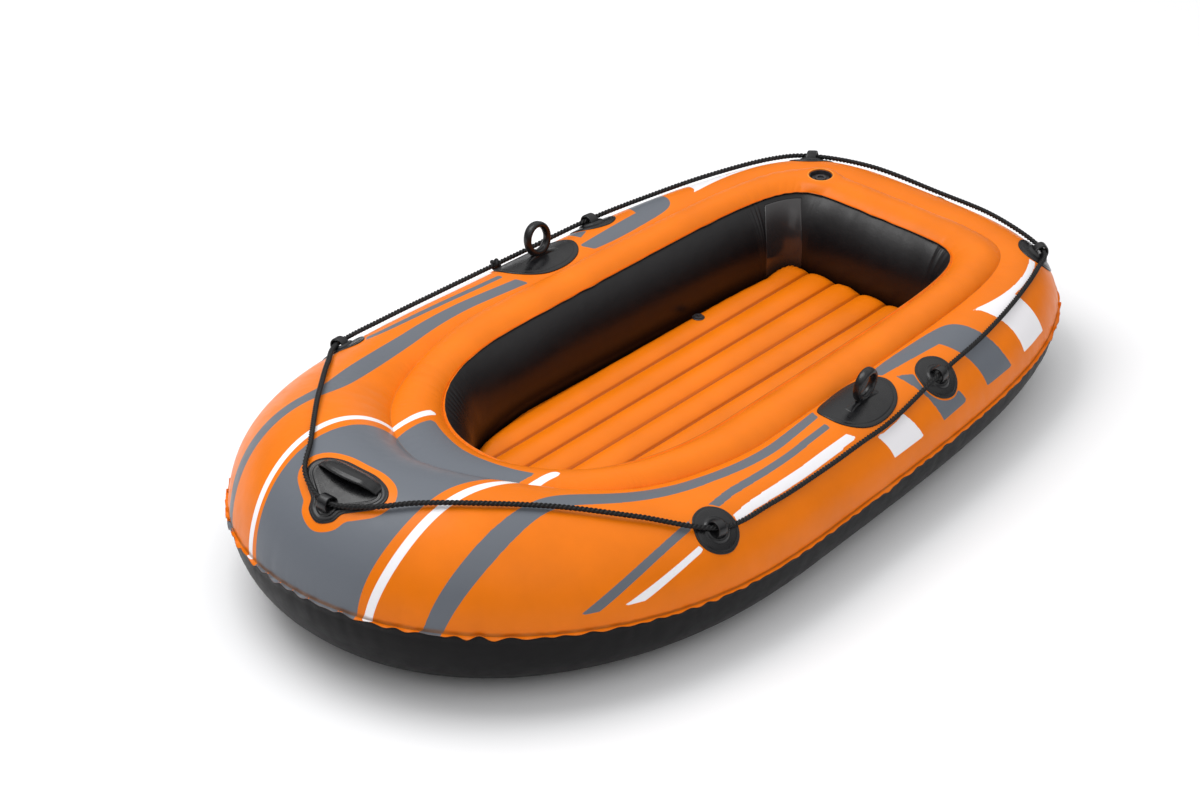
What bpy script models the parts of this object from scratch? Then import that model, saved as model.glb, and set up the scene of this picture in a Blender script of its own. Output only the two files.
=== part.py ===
"""Inflatable boat for one person: a welded hull with two air chambers, a ribbed air floor and its fittings.

Metres, +Z up. The bow points along -Y, the stern along +Y, and the boat stands on Z = 0.
The hull is worked out from four loops seen from above (outer weld, crease, cockpit edge, floor weld).
Each cross-section stands on a ray that runs outwards from the cockpit, square to the tube.
"""

import math

import bmesh
import bpy
import numpy as np
from mathutils import Vector
from mathutils.geometry import delaunay_2d_cdt

# Sheets and clearances
sheet = 0.0005              # thickness of every welded sheet
gap = 0.0003                # clearance between pieces that touch
half_gap = gap / 2

# Hull seen from above
hull_length = 1.55          # over the outer weld
hull_half_width = 0.438     # over the outer weld, at its widest place
hull_widest_y = -0.086
bow_deck = 0.399            # from the bow's weld to the cockpit
stern_deck = 0.188          # from the stern's weld to the cockpit
side_deck = 0.2225          # from the side's weld to the cockpit
cockpit_widest_y = -0.060
bow_inner_tube = 0.1266     # from the cockpit edge to the crease
stern_inner_tube = 0.0733
side_inner_tube = 0.0773
seam_powers = (2.08, 3.94)      # roundness of the bow's and of the stern's half
crease_powers = (1.72, 6.87)
cockpit_powers = (2.28, 6.87)
seam_taper_share = -0.208       # change of width over the hull's length, bow to stern
crease_taper_share = -0.263
cockpit_taper_share = -0.139

# Heights
seam_height = 0.1104
seam_bow_rise = 0.0428
seam_stern_rise = 0.0104
crease_height = 0.2031
crease_bow_rise = 0.0388
cockpit_height = 0.2051
cockpit_bow_drop = 0.0062
inner_tube_crown = 0.017    # how far the inner tube swells over a straight line
wall_bulge = 0.030          # how far the cockpit wall swells into the cockpit
floor_weld_height = 0.050
floor_weld_inset = 0.025    # floor weld, measured in from the cockpit edge

# Weld flanges
seam_flange = 0.007
cockpit_flange = 0.005
floor_flange = 0.010

# Centres of the two fans of cross-sections, measured from the cockpit's edges
bow_fan_inset = 0.156
corner_fan_inset_x = 0.095
corner_fan_inset_y = 0.127
bow_steps, side_steps, corner_steps, stern_steps = 10, 6, 7, 3
outer_steps, inner_steps, bottom_steps, floor_turn_steps, wall_steps = 7, 4, 5, 2, 4
baffle_steps = 5
reach_limit_share = 2.0         # how far out a ray is followed, of the hull's length
least_width_share = 0.1

# Floor
rib_side_margin = 0.0255    # from the outer ribs to the floor weld, at the widest place
web_count = 5
floor_crease_height = 0.079
floor_ridge_height = 0.092
floor_under_crease = 0.024
floor_under_ridge = 0.012
floor_edge_round = 0.030    # how far in from the weld the floor's edge is rounded
floor_row_pitch = 0.075
floor_rim_share = 0.1           # where the sheet's rim lies on its weld flange
floor_ring_shares = (0.3, 0.9)  # rings of points on the rounded edge
floor_clear_share = 1.15        # the ribs' own points start this far in
web_end_share = 0.8181818       # from a web's end to the floor weld, of the rib pitch
rib_steps = 4

# Patches and rope eyes
patch_thickness = 0.0015
patch_rim_share = 0.94
patch_inner_share = 0.47
patch_edge_share = 0.4
patch_root = 0.004          # how deep a patch's blank reaches before it is cut to the skin
skin_band_depth = 0.012
eye_width = 0.015           # along the rope
eye_span = 0.026            # across the rope, outside
eye_height = 0.017
eye_wall = 0.0035
boss_radius = 0.021
boss_height = 0.0025
root_depth = 0.001          # how far a moulded form runs down into its patch

holder_length = 0.078       # along the hull
holder_width = 0.078        # around the tube
holder_outline_shares = (
    (-1.0, -0.05), (-0.82, 0.62), (-0.30, 0.97), (0.30, 1.0), (0.83, 0.64),
    (1.0, 0.0), (0.78, -0.62), (0.28, -0.98), (-0.32, -0.90), (-0.80, -0.55),
)
# Places on the tubes: in from the hull's side at its widest, and from its bow or stern end
bow_holder_insets = {"forward": (0.052, 0.482)}
stern_holder_insets = {"aft": (0.076, 0.507), "corner": (0.198, 0.077)}

oarlock_side_inset = 0.103
oarlock_stern_inset = 0.663
oarlock_length = 0.152
oarlock_width = 0.097
oarlock_outline_shares = (
    (-0.88, 0.80), (-0.26, 1.0), (0.37, 0.98), (0.82, 0.70), (1.0, 0.16), (0.90, -0.36),
    (0.60, -0.78), (0.13, -0.96), (-0.40, -0.88), (-0.80, -0.50), (-0.99, 0.06),
)
oar_ring_half_length = 0.0205   # to the middle of the bar
oar_ring_half_height = 0.0235
oar_bar_radius = 0.0065
oar_ring_foot_length = 0.074
oar_ring_foot_width = 0.016
oar_ring_foot_height = 0.009
oar_ring_foot_shares = (        # place along it, width, height: it is narrowest under the ring
    (-1, 1, 0.25), (-0.45, 0.6, 1), (0.45, 0.6, 1), (1, 1, 0.25),
)

bow_handle_inset = 0.107        # from the bow end
bow_patch_half_length = 0.077
bow_patch_half_width = 0.062
bow_outline_shares = (
    (0.0, 0.58), (0.45, 0.53), (0.84, 0.30), (1.0, -0.02), (0.90, -0.34), (0.62, -0.56),
    (0.38, -0.74), (0.27, -1.0), (0.0, -1.16), (-0.27, -1.0), (-0.38, -0.74), (-0.62, -0.56),
    (-0.90, -0.34), (-1.0, -0.02), (-0.84, 0.30), (-0.45, 0.53),
)
grip_half_length = 0.060
grip_width = 0.017
grip_thickness = 0.005
grip_height = 0.022
grip_offset = 0.007
grip_shares = (                 # place along it, height
    (-1, 0.08), (-0.86, 0.62), (-0.6, 0.93), (0, 1), (0.6, 0.93), (0.86, 0.62), (1, 0.08),
)
bow_eye_offset = -0.041

# Main valve, on the inner tube's crown
main_valve_side = 0.035         # from the centre of the corner's fan
main_valve_aft = 0.1575
valve_hole_radius = 0.0200
valve_cup_wall = 0.0015
valve_cup_depth = 0.009
valve_rim_drop = 0.0015         # the rim's depth under the tube's crown
valve_weld_radius = 0.029
valve_weld_thickness = 0.003
valve_bore_radius = 0.0128
valve_neck_wall = 0.002
valve_neck_depth = 0.026
insert_wall = 0.0018
insert_collar_radius = 0.0165
insert_collar_thickness = 0.0015
insert_depth = 0.024
insert_seat_width = 0.0022
spider_bar_width = 0.003
spider_thickness = 0.0015
spider_hub_radius = 0.0036
diaphragm_stem_radius = 0.0013
diaphragm_thickness = 0.0008
diaphragm_head_radius = 0.0026
diaphragm_head_thickness = 0.001
diaphragm_travel = 0.003
diaphragm_overlap = 0.0012
spider_set_back = 0.0001        # the bars' faces and the hub's lie this far apart, under the seat's
cap_thickness = 0.0012
cap_skirt_depth = 0.006
cap_skirt_wall = 0.0012
cap_ring_outer = 0.0097
cap_ring_inner = 0.0052
cap_ring_height = 0.0028

# Small plug valves: flange radius, bore radius, and their places
floor_valve_rib_share = -2.6    # across, of the rib pitch
floor_valve_stern_inset = 0.299 # from the cockpit's stern end
floor_valve_flange = 0.0105
floor_valve_bore = 0.0052
stern_valve_angle = math.radians(34)    # around the tube, up from the weld
stern_valve_flange = 0.0160
stern_valve_bore = 0.0090
cutter_share = 2.0              # how far a hole's cutter reaches, of the neck's depth
plug_valve_wall = 0.0018
plug_flange_thickness = 0.0012
plug_neck_depth = 0.012
plug_seat_depth = 0.0004        # the bore's mouth lies a little under the flange's face
plug_depth = 0.009
plug_head_margin = 0.0025
plug_head_thickness = 0.0014
plug_tab_radius = 0.0028
plug_tab_height = 0.0025

# Wall strip: where it lies, as a ray's direction in degrees from +X, on the -X side
strip_middle_angle = math.radians(57)
strip_half_width = 0.021
strip_gap = 0.0006              # from the wall, which is made of flat facets under it
strip_end_margin = 0.004

# Grab rope: its route, in the order bow, right side, stern, left side
rope_radius = 0.00375
rope_free_lift = 0.0078     # the rope's middle over the skin between two eyes
rope_pitch = 0.047
rope_span_shares = {        # plan points before each eye, from the bow, as shares of the hull's
                            # half width and half length; it hangs a little otherwise on each side
    1: (
        ("forward", (
            (0.1507, -0.8813), (0.2733, -0.8252), (0.4215, -0.7413),
            (0.5765, -0.6262), (0.7324, -0.5092))),
        ("aft", (
            (0.9039, -0.2348), (0.8977, -0.0787), (0.8858, 0.0452),
            (0.8728, 0.1639))),
        ("corner", (
            (0.7872, 0.5088), (0.726, 0.6645), (0.6402, 0.8157))),
    ),
    -1: (
        ("forward", (
            (0.1461, -0.88), (0.2443, -0.8129), (0.4171, -0.7043),
            (0.54, -0.6239), (0.71, -0.5084))),
        ("aft", (
            (0.9039, -0.2348), (0.8977, -0.0787), (0.8858, 0.0452),
            (0.8728, 0.1639))),
        ("corner", (
            (0.7872, 0.5088), (0.726, 0.6645), (0.6402, 0.8157))),
    ),
}
rope_stern_shares = ((0.2968, 0.9342), (0.0, 0.9497), (-0.2968, 0.9342))
rope_curve_steps = 24

ring_sides = 16
small_ring_sides = 18
eye_steps = 6
outline_steps = 2
bar_sides = 8

orange = (0.91, 0.27, 0.04)
black = (0.012, 0.011, 0.012)
wall_grey = (0.030, 0.028, 0.033)
moulded_black = (0.018, 0.017, 0.018)
rope_black = (0.010, 0.010, 0.011)


def empty_scene():
    for obj in list(bpy.data.objects):
        bpy.data.objects.remove(obj, do_unlink=True)


def material(name, colour, roughness):
    """A Principled material with one colour."""
    made = bpy.data.materials.new(name)
    made.use_nodes = True
    shader = made.node_tree.nodes["Principled BSDF"]
    shader.inputs["Base Color"].default_value = (*colour, 1)
    shader.inputs["Roughness"].default_value = roughness
    shader.inputs["Metallic"].default_value = 0
    return made


def object_from(name, verts, faces, colour=None, roughness=0.4, origin=(0, 0, 0)):
    """One object from points and faces, with its faces turned outwards."""
    mesh = bpy.data.meshes.new(name)
    origin = np.array(origin, float)
    mesh.from_pydata([tuple(p) for p in np.array(verts) - origin], [], faces)
    work = bmesh.new()
    work.from_mesh(mesh)
    bmesh.ops.recalc_face_normals(work, faces=work.faces)
    work.to_mesh(mesh)
    work.free()
    mesh.shade_smooth()
    mesh.set_sharp_from_angle(angle=math.radians(40))
    obj = bpy.data.objects.new(name, mesh)
    obj.location = origin
    bpy.context.scene.collection.objects.link(obj)
    if colour is None:
        obj.hide_render = True
        obj.display_type = "WIRE"
    else:
        mesh.materials.append(material(name, colour, roughness))
    return obj


def boolean(obj, other, operation):
    """Joins a hidden helper to an object, or cuts it out."""
    modifier = obj.modifiers.new(other.name, "BOOLEAN")
    modifier.operation = operation
    modifier.solver = "EXACT"
    modifier.object = other


def ring_faces(rings, sides, closed_around=True, first=0):
    """Quads between neighbouring rings of points."""
    faces = []
    last = sides if closed_around else sides - 1
    for r in range(rings - 1):
        for s in range(last):
            a, b = first + r * sides, first + (r + 1) * sides
            t = (s + 1) % sides
            faces.append((a + s, a + t, b + t, b + s))
    return faces


def rings_object(name, rings, colour=None, roughness=0.4, start=None, end=None, origin=(0, 0, 0)):
    """A closed solid through rings of points. A start or end point closes it as a fan, else a face does."""
    sides = len(rings[0])
    verts = [tuple(p) for ring in rings for p in ring]
    faces = ring_faces(len(rings), sides)
    for pole, ring in ((start, 0), (end, len(rings) - 1)):
        base = ring * sides
        if pole is None:
            faces.append(tuple(range(base, base + sides)))
            continue
        verts.append(tuple(pole))
        faces += [(base + s, base + (s + 1) % sides, len(verts) - 1) for s in range(sides)]
    return object_from(name, verts, faces, colour, roughness, origin)


def turned_object(name, profile, centre, axis, colour=None, roughness=0.4, sides=small_ring_sides):
    """A solid turned round an axis from (radius, height) points. A profile that starts and ends off
    the axis closes on itself, as on a tube."""
    turn = Vector((0, 0, 1)).rotation_difference(Vector(axis)).to_matrix()
    angles = [2 * math.pi * s / sides for s in range(sides)]
    centre = np.array(centre, float)

    def point(radius, height, angle):
        local = Vector((radius * math.cos(angle), radius * math.sin(angle), height))
        return centre + np.array(turn @ local)

    on_axis = [radius == 0 for radius, _ in profile]
    inner = [p for p, pole in zip(profile, on_axis) if not pole]
    rings = [[point(r, z, a) for a in angles] for r, z in inner]
    if not any(on_axis):
        verts = [p for ring in rings for p in ring]
        faces = ring_faces(len(rings), sides)
        last = (len(rings) - 1) * sides
        faces += [(last + s, last + (s + 1) % sides, (s + 1) % sides, s) for s in range(sides)]
        return object_from(name, verts, faces, colour, roughness, centre)
    start = point(*profile[0], 0) if on_axis[0] else None
    end = point(*profile[-1], 0) if on_axis[-1] else None
    return rings_object(name, rings, colour, roughness, start, end, centre)


# The hull's loops. Each one is a superellipse with its own power before and behind its widest place.
half_length = hull_length / 2
cockpit_half_width = hull_half_width - side_deck
cockpit_bow = -half_length + bow_deck
cockpit_stern = half_length - stern_deck
seam_loop = (hull_half_width, -half_length, half_length, hull_widest_y, seam_powers, seam_taper_share)
crease_loop = (
    cockpit_half_width + side_inner_tube, cockpit_bow - bow_inner_tube,
    cockpit_stern + stern_inner_tube, cockpit_widest_y, crease_powers, crease_taper_share,
)
cockpit_loop = (
    cockpit_half_width, cockpit_bow, cockpit_stern, cockpit_widest_y, cockpit_powers,
    cockpit_taper_share,
)
bow_centre_y = cockpit_bow + bow_fan_inset
corner_centre_x = cockpit_half_width - corner_fan_inset_x
corner_centre_y = cockpit_stern - corner_fan_inset_y

# Ribs and fittings
rib_half_count = (web_count + 1) / 2
rib_pitch = (cockpit_half_width - floor_weld_inset - rib_side_margin) / rib_half_count
web_end_clearance = rib_pitch * web_end_share
holder_places = {name: (hull_half_width - side, y - half_length)
                 for name, (side, y) in bow_holder_insets.items()}
for name, (side, y) in stern_holder_insets.items():
    holder_places[name] = (hull_half_width - side, half_length - y)
oarlock_place = (hull_half_width - oarlock_side_inset, half_length - oarlock_stern_inset)
bow_place = (0, bow_handle_inset - half_length)
main_valve_place = (-corner_centre_x - main_valve_side, corner_centre_y + main_valve_aft)
floor_valve_place = (floor_valve_rib_share * rib_pitch, cockpit_stern - floor_valve_stern_inset)


def on_hull(shares):
    """A plan point from shares of the hull's half width and half length."""
    return shares[0] * hull_half_width, shares[1] * half_length


bisection_steps = 40


def reach(origins, directions, loop):
    """How far each ray runs until it meets a loop, found by halving."""
    half_width, bow, stern, widest, powers, taper = loop
    low = np.zeros(len(origins))
    high = np.full(len(origins), reach_limit_share * hull_length)
    for _ in range(bisection_steps):
        middle = (low + high) / 2
        points = origins + middle[:, None] * directions
        along = points[:, 1] - widest
        power = np.where(along >= 0, powers[1], powers[0])
        end = np.where(along >= 0, stern - widest, widest - bow)
        width = np.maximum(half_width * (1 + taper * along / hull_length), half_width * least_width_share)
        inside = (np.abs(points[:, 0]) / width) ** power + (np.abs(along) / end) ** power < 1
        low, high = np.where(inside, middle, low), np.where(inside, high, middle)
    return low


def ray_through(points):
    """The ray (origin and direction) of the cross-section that holds each plan point."""
    points = np.atleast_2d(np.array(points, float))
    origins, directions = np.zeros_like(points), np.zeros_like(points)
    for i, (x, y) in enumerate(points):
        side = 1.0 if x >= 0 else -1.0
        if y < bow_centre_y:
            origins[i] = (0, bow_centre_y)
        elif y <= corner_centre_y:
            share = (y - bow_centre_y) / (corner_centre_y - bow_centre_y)
            origins[i], directions[i] = (side * corner_centre_x * share, y), (side, 0)
            continue
        elif abs(x) > corner_centre_x:
            origins[i] = (side * corner_centre_x, corner_centre_y)
        else:
            origins[i], directions[i] = (x, corner_centre_y), (0, 1)
            continue
        away = points[i] - origins[i]
        directions[i] = away / max(np.hypot(*away), gap)
    return origins, directions


def stations():
    """Rays once round the hull: bow, right side, corner, stern, and the same mirrored back to the bow."""
    rays = []
    for k in range(bow_steps + 1):
        angle = -math.pi / 2 * (1 - k / bow_steps)
        rays.append(((0, bow_centre_y), (math.cos(angle), math.sin(angle))))
    for k in range(1, side_steps + 1):
        share = k / side_steps
        y = bow_centre_y + share * (corner_centre_y - bow_centre_y)
        rays.append(((corner_centre_x * share, y), (1, 0)))
    for k in range(1, corner_steps + 1):
        angle = math.pi / 2 * k / corner_steps
        rays.append(((corner_centre_x, corner_centre_y), (math.cos(angle), math.sin(angle))))
    for k in range(1, stern_steps + 1):
        rays.append(((corner_centre_x * (1 - k / stern_steps), corner_centre_y), (0, 1)))
    mirrored = [((-o[0], o[1]), (-d[0], d[1])) for o, d in rays[-2:0:-1]]
    rays += mirrored
    return np.array([o for o, _ in rays], float), np.array([d for _, d in rays], float)


def circle_over(inner, outer, rise):
    """Centre and radius of the arc that swells by rise over the line from outer to inner."""
    chord = inner - outer
    length = np.hypot(chord[:, 0], chord[:, 1])
    radius = (length ** 2 / 4 + rise ** 2) / (2 * rise)
    normal = np.stack([chord[:, 1], -chord[:, 0]], 1) / length[:, None]
    centre = (inner + outer) / 2 - (radius - rise)[:, None] * normal
    return centre, radius


class Section:
    """The cross-sections on a set of rays: (distance along the ray, height) of each weld, and the arcs."""

    def __init__(self, origins, directions):
        bow = np.clip(-directions[:, 1], 0, 1) ** 2
        stern = np.clip(directions[:, 1], 0, 1) ** 2
        self.edge = reach(origins, directions, seam_loop)
        self.root = self.edge - seam_flange
        self.crease = reach(origins, directions, crease_loop)
        self.cockpit = reach(origins, directions, cockpit_loop)
        self.floor = self.cockpit - floor_weld_inset
        self.seam_z = seam_height + seam_bow_rise * bow + seam_stern_rise * stern
        self.crease_z = crease_height + crease_bow_rise * bow
        self.cockpit_z = cockpit_height - cockpit_bow_drop * bow
        across = self.root - self.crease
        rise = self.crease_z - self.seam_z - half_gap
        self.outer_radius = (across ** 2 + rise ** 2) / (2 * across)
        self.outer_centre = self.root - self.outer_radius
        self.crease_angle = np.arctan2(rise, self.outer_radius - across)
        self.crease_point = np.stack([self.crease, self.crease_z], 1)
        self.cockpit_point = np.stack([self.cockpit, self.cockpit_z], 1)
        self.crown_centre, self.crown_radius = circle_over(
            self.cockpit_point, self.crease_point, inner_tube_crown)


def arc_between(start, end, centre, radius, steps):
    """Points on the arc from start to end, both left out."""
    a = np.arctan2(start[:, 1] - centre[:, 1], start[:, 0] - centre[:, 0])
    b = np.arctan2(end[:, 1] - centre[:, 1], end[:, 0] - centre[:, 0])
    turn = (b - a + math.pi) % (2 * math.pi) - math.pi
    angles = a[:, None] + turn[:, None] * np.arange(1, steps) / steps
    return centre[:, None] + radius[:, None, None] * np.stack([np.cos(angles), np.sin(angles)], -1)


def moved_right(line, distance):
    """The line moved to the right of its run by a distance, corners kept sharp."""
    run = np.diff(line, axis=1)
    run /= np.linalg.norm(run, axis=2, keepdims=True)
    normal = np.stack([run[..., 1], -run[..., 0]], -1)
    before = np.concatenate([normal[:, :1], normal], 1)
    after = np.concatenate([normal, normal[:, -1:]], 1)
    both = (before * after).sum(-1, keepdims=True)
    return line + distance * (before + after) / (1 + both)


def sheet_object(name, line, distance, colour, roughness=0.4):
    """A welded sheet once round the hull, from its air side, thickened to the right by a distance.

    Both of its sides are split along the same diagonals, so a twisted sheet keeps its thickness.
    """
    profile = np.concatenate([line, moved_right(line, distance)[:, ::-1]], 1)
    around, points = profile.shape[:2]
    plan = ray_origins[:, None] + profile[..., :1] * ray_directions[:, None]
    verts = np.concatenate([plan, profile[..., 1:]], -1).reshape(-1, 3)
    faces = []
    for i in range(around):
        j = (i + 1) % around
        for k in range(points):
            m = (k + 1) % points
            a, b, c, d = i * points + k, i * points + m, j * points + m, j * points + k
            if k < points // 2:
                faces += [(a, b, c), (a, c, d)]
            else:
                faces += [(a, b, d), (b, c, d)]
    return object_from(name, verts, faces, colour, roughness)


ray_origins, ray_directions = stations()
hull = Section(ray_origins, ray_directions)
station_count = len(ray_origins)


def point_column(across, height):
    """One (distance, height) point per station."""
    shape = np.zeros(station_count)
    return np.stack([shape + across, shape + height], 1)[:, None]


flange_up = np.array((-math.sqrt(0.5), math.sqrt(0.5)))     # the cockpit edge's flange stands at 45 degrees
flange_side = np.array((math.sqrt(0.5), math.sqrt(0.5)))
floor_top_z = floor_weld_height + half_gap                  # under side of the floor's top sheet at the weld
floor_under_z = floor_weld_height - half_gap                # upper side of its bottom sheet there
wall_weld_z = floor_top_z + sheet + gap
bottom_weld_z = floor_under_z - sheet - gap


def top_skin_line():
    z = hull.seam_z + half_gap
    angles = hull.crease_angle[:, None] * np.arange(outer_steps) / outer_steps
    arc = np.stack([
        hull.outer_centre[:, None] + hull.outer_radius[:, None] * np.cos(angles),
        z[:, None] + hull.outer_radius[:, None] * np.sin(angles),
    ], -1)
    root = hull.cockpit_point + half_gap * flange_side
    crown = arc_between(hull.crease_point, root, hull.crown_centre, hull.crown_radius, inner_steps)
    tip = root + cockpit_flange * flange_up
    return np.concatenate([
        point_column(hull.edge, z), arc, hull.crease_point[:, None], crown, root[:, None],
        tip[:, None]], 1)


def bottom_skin_line():
    z = hull.seam_z - half_gap
    radius = z - sheet
    angles = (math.pi / 2 * np.arange(bottom_steps + 1) / bottom_steps)[None]
    outer = np.stack([
        (hull.root - radius)[:, None] + radius[:, None] * np.cos(angles),
        z[:, None] - radius[:, None] * np.sin(angles),
    ], -1)
    turn = bottom_weld_z - sheet
    angles = (math.pi / 2 * np.arange(floor_turn_steps + 1) / floor_turn_steps)[None]
    inner = np.stack([
        (hull.floor + turn)[:, None] - turn * np.sin(angles),
        bottom_weld_z - turn * np.cos(angles) + 0 * hull.floor[:, None],
    ], -1)
    return np.concatenate([
        point_column(hull.edge, z), outer, inner,
        point_column(hull.floor - floor_flange, bottom_weld_z)], 1)


def wall_line():
    root = hull.cockpit_point - half_gap * flange_side
    tip = root + cockpit_flange * flange_up
    foot = np.stack([hull.floor, np.full(station_count, wall_weld_z)], 1)
    centre, radius = circle_over(foot, root, wall_bulge)
    swell = arc_between(root, foot, centre, radius, wall_steps)
    return np.concatenate([
        tip[:, None], root[:, None], swell, foot[:, None],
        point_column(hull.floor - floor_flange, wall_weld_z)], 1)


def baffle_line():
    foot = np.minimum(hull.crease, hull.root - hull.seam_z - sheet)
    top = hull.crease_point - np.array((0, gap)) + np.array((sheet / 2, 0))
    low = point_column(foot + sheet / 2, sheet + gap)
    shares = np.linspace(0, 1, baffle_steps + 1)[:, None]
    return top[:, None] * (1 - shares) + low * shares


def band_object(name, line, inside, outside):
    """A hidden solid once round the hull, from inside a line to outside it."""
    return sheet_object(name, moved_right(line, inside), outside - inside, None)


def make_hull():
    line = top_skin_line()
    top = sheet_object("hull_top_skin", line, sheet, orange, 0.35)
    sheet_object("hull_bottom_skin", bottom_skin_line(), -sheet, black, 0.45)
    sheet_object("cockpit_wall_skin", wall_line(), sheet, wall_grey, 0.4)
    sheet_object("chamber_baffle", baffle_line(), sheet, orange, 0.4)
    skin_band = band_object("skin_band", line[:, 1:-1], -skin_band_depth, sheet + gap)
    above_band = band_object("above_band", line[:, outer_steps + 1:-1], -gap, skin_band_depth)
    return top, skin_band, above_band


def make_wall_strip():
    """The strip lies on one flat run of the wall, between two neighbouring stations."""
    outside = moved_right(wall_line(), sheet)[:, 1:-1]
    face = moved_right(outside, strip_gap)
    back = moved_right(outside, strip_gap + sheet)
    angle = np.arctan2(ray_directions[:, 1], -ray_directions[:, 0])
    left = np.where((ray_directions[:, 0] < 0) & (ray_directions[:, 1] > 0))[0]
    first = left[np.argmin(np.abs(angle[left] - strip_middle_angle))]
    panel = (first, first + 1)

    def corners(line):
        ends = [np.concatenate([ray_origins[i] + line[i, :, :1] * ray_directions[i], line[i, :, 1:]], 1)
                for i in panel]
        middle = (ends[0] + ends[1]) / 2
        half = (ends[1] - ends[0]) / 2
        length = np.linalg.norm(half, axis=1, keepdims=True)
        reach_out = np.minimum(strip_half_width, length - strip_end_margin)
        return middle - half / length * reach_out, middle + half / length * reach_out

    near_face, far_face = corners(face)
    near_back, far_back = corners(back)
    rings = [list(p) for p in zip(near_face, far_face, far_back, near_back)]
    return rings_object("wall_overlap_strip", rings[1:-1], black, 0.15)


# The floor: a height for every plan point, from the distance to the weld and the ribs.


def floor_edge(points, inset):
    """Distance from each plan point out to the floor weld, less an inset."""
    origins, directions = ray_through(points)
    along = ((points - origins) * directions).sum(1)
    return reach(origins, directions, cockpit_loop) - floor_weld_inset - inset - along


def floor_height(points, weld_z, crease_z, ridge_z):
    away = floor_edge(points, floor_flange)
    share = np.clip(away / floor_edge_round, 0, 1)
    rounding = np.sqrt(1 - (1 - share) ** 2)
    place = np.abs(points[:, 0] / rib_pitch + rib_half_count) % 1
    arch = np.sqrt(np.clip(1 - (2 * place - 1) ** 2, 0, 1))
    return weld_z + (crease_z + (ridge_z - crease_z) * arch - weld_z) * rounding


def floor_rows():
    count = round((cockpit_stern - cockpit_bow) / floor_row_pitch)
    return [cockpit_bow + (cockpit_stern - cockpit_bow) * (k + 0.5) / count for k in range(count)]


def rib_columns():
    count = (web_count + 1) * rib_steps
    return [rib_pitch * (k / rib_steps - rib_half_count) for k in range(count + 1)]


def floor_plan(rim):
    """Plan points and triangles: four rings inside the weld, then the ribs' own columns."""
    points, edges = [], []
    ring_insets = [rim, floor_flange]
    ring_insets += [floor_flange + share * floor_edge_round for share in floor_ring_shares]
    for inset in ring_insets:
        base = len(points)
        ring = ray_origins + (hull.floor - inset)[:, None] * ray_directions
        points += [tuple(p) for p in ring]
        edges += [(base + s, base + (s + 1) % station_count) for s in range(station_count)]
    for column, x in enumerate(rib_columns()):
        before = None
        for y in floor_rows():
            clear = floor_edge(np.array([(x, y)]), floor_flange)[0]
            if clear < floor_clear_share * floor_edge_round:
                continue
            points.append((x, y))
            if column % rib_steps == 0 and before is not None:
                edges.append((before, len(points) - 1))
            before = len(points) - 1
    made = delaunay_2d_cdt([Vector(p) for p in points], edges, [], 1, gap)
    return np.array([tuple(p) for p in made[0]]), [tuple(f) for f in made[2]]


def floor_sheet(name, weld_z, crease_z, ridge_z, thickness, colour):
    """One skin of the floor, from its inner side, thickened up or down."""
    plan, triangles = floor_plan(floor_flange * floor_rim_share)
    inner = floor_height(plan, weld_z, crease_z, ridge_z)
    count = len(plan)
    verts = np.concatenate([
        np.column_stack([plan, inner]), np.column_stack([plan, inner + thickness])])
    faces = list(triangles) + [tuple(i + count for i in reversed(f)) for f in triangles]
    uses = {}
    for f in triangles:
        for a, b in zip(f, f[1:] + f[:1]):
            uses[(a, b)] = uses.get((a, b), 0) + 1
    faces += [(b, a, a + count, b + count) for a, b in uses if (b, a) not in uses]
    return object_from(name, verts, faces, colour, 0.35)


def make_floor():
    top = floor_sheet("floor_top_sheet", floor_top_z, floor_crease_height, floor_ridge_height,
                      sheet, orange)
    floor_sheet("floor_bottom_sheet", floor_under_z, floor_under_crease, floor_under_ridge,
                -sheet, black)
    for number in range(web_count):
        x = rib_pitch * (number + 1 - rib_half_count)
        rows = [y for y in floor_rows()
                if floor_edge(np.array([(x, y)]), 0)[0] > web_end_clearance]
        low, high = floor_under_crease + gap, floor_crease_height - gap
        rings = []
        for y in rows:
            rings.append([(x - sheet / 2, y, low), (x + sheet / 2, y, low),
                          (x + sheet / 2, y, high), (x - sheet / 2, y, high)])
        rings_object(f"floor_web_{number + 1}", rings, orange, 0.5)
    return top


# Places on the hull. Fittings are drawn flat, s along the hull and w around the tube, and laid on it.

def outer_place(centre, side=1):
    """Lays flat drawing points on the outer tube round a plan point. w runs up and inboard."""
    centre = np.array((centre[0] * side, centre[1]), float)
    origin, direction = ray_through(centre)
    start = Section(origin, direction)
    across = ((centre - origin) * direction).sum(1)
    angle = np.arccos((across - start.outer_centre) / (start.outer_radius + sheet))
    along = np.array((-direction[0, 1], direction[0, 0])) * side

    def lay(s, w, lift):
        s, w, lift = np.broadcast_arrays(*(np.array(v, float) for v in (s, w, lift)))
        shape = s.shape
        s, w, lift = s.ravel(), w.ravel(), lift.ravel()
        plan = centre + s[:, None] * along
        origins, directions = ray_through(plan)
        at = Section(origins, directions)
        turn = angle + w / start.outer_radius
        radius = at.outer_radius + sheet + lift
        flat = origins + (at.outer_centre + radius * np.cos(turn))[:, None] * directions
        z = at.seam_z + half_gap + radius * np.sin(turn)
        return np.column_stack([flat, z]).reshape(*shape, 3)

    return lay


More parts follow.
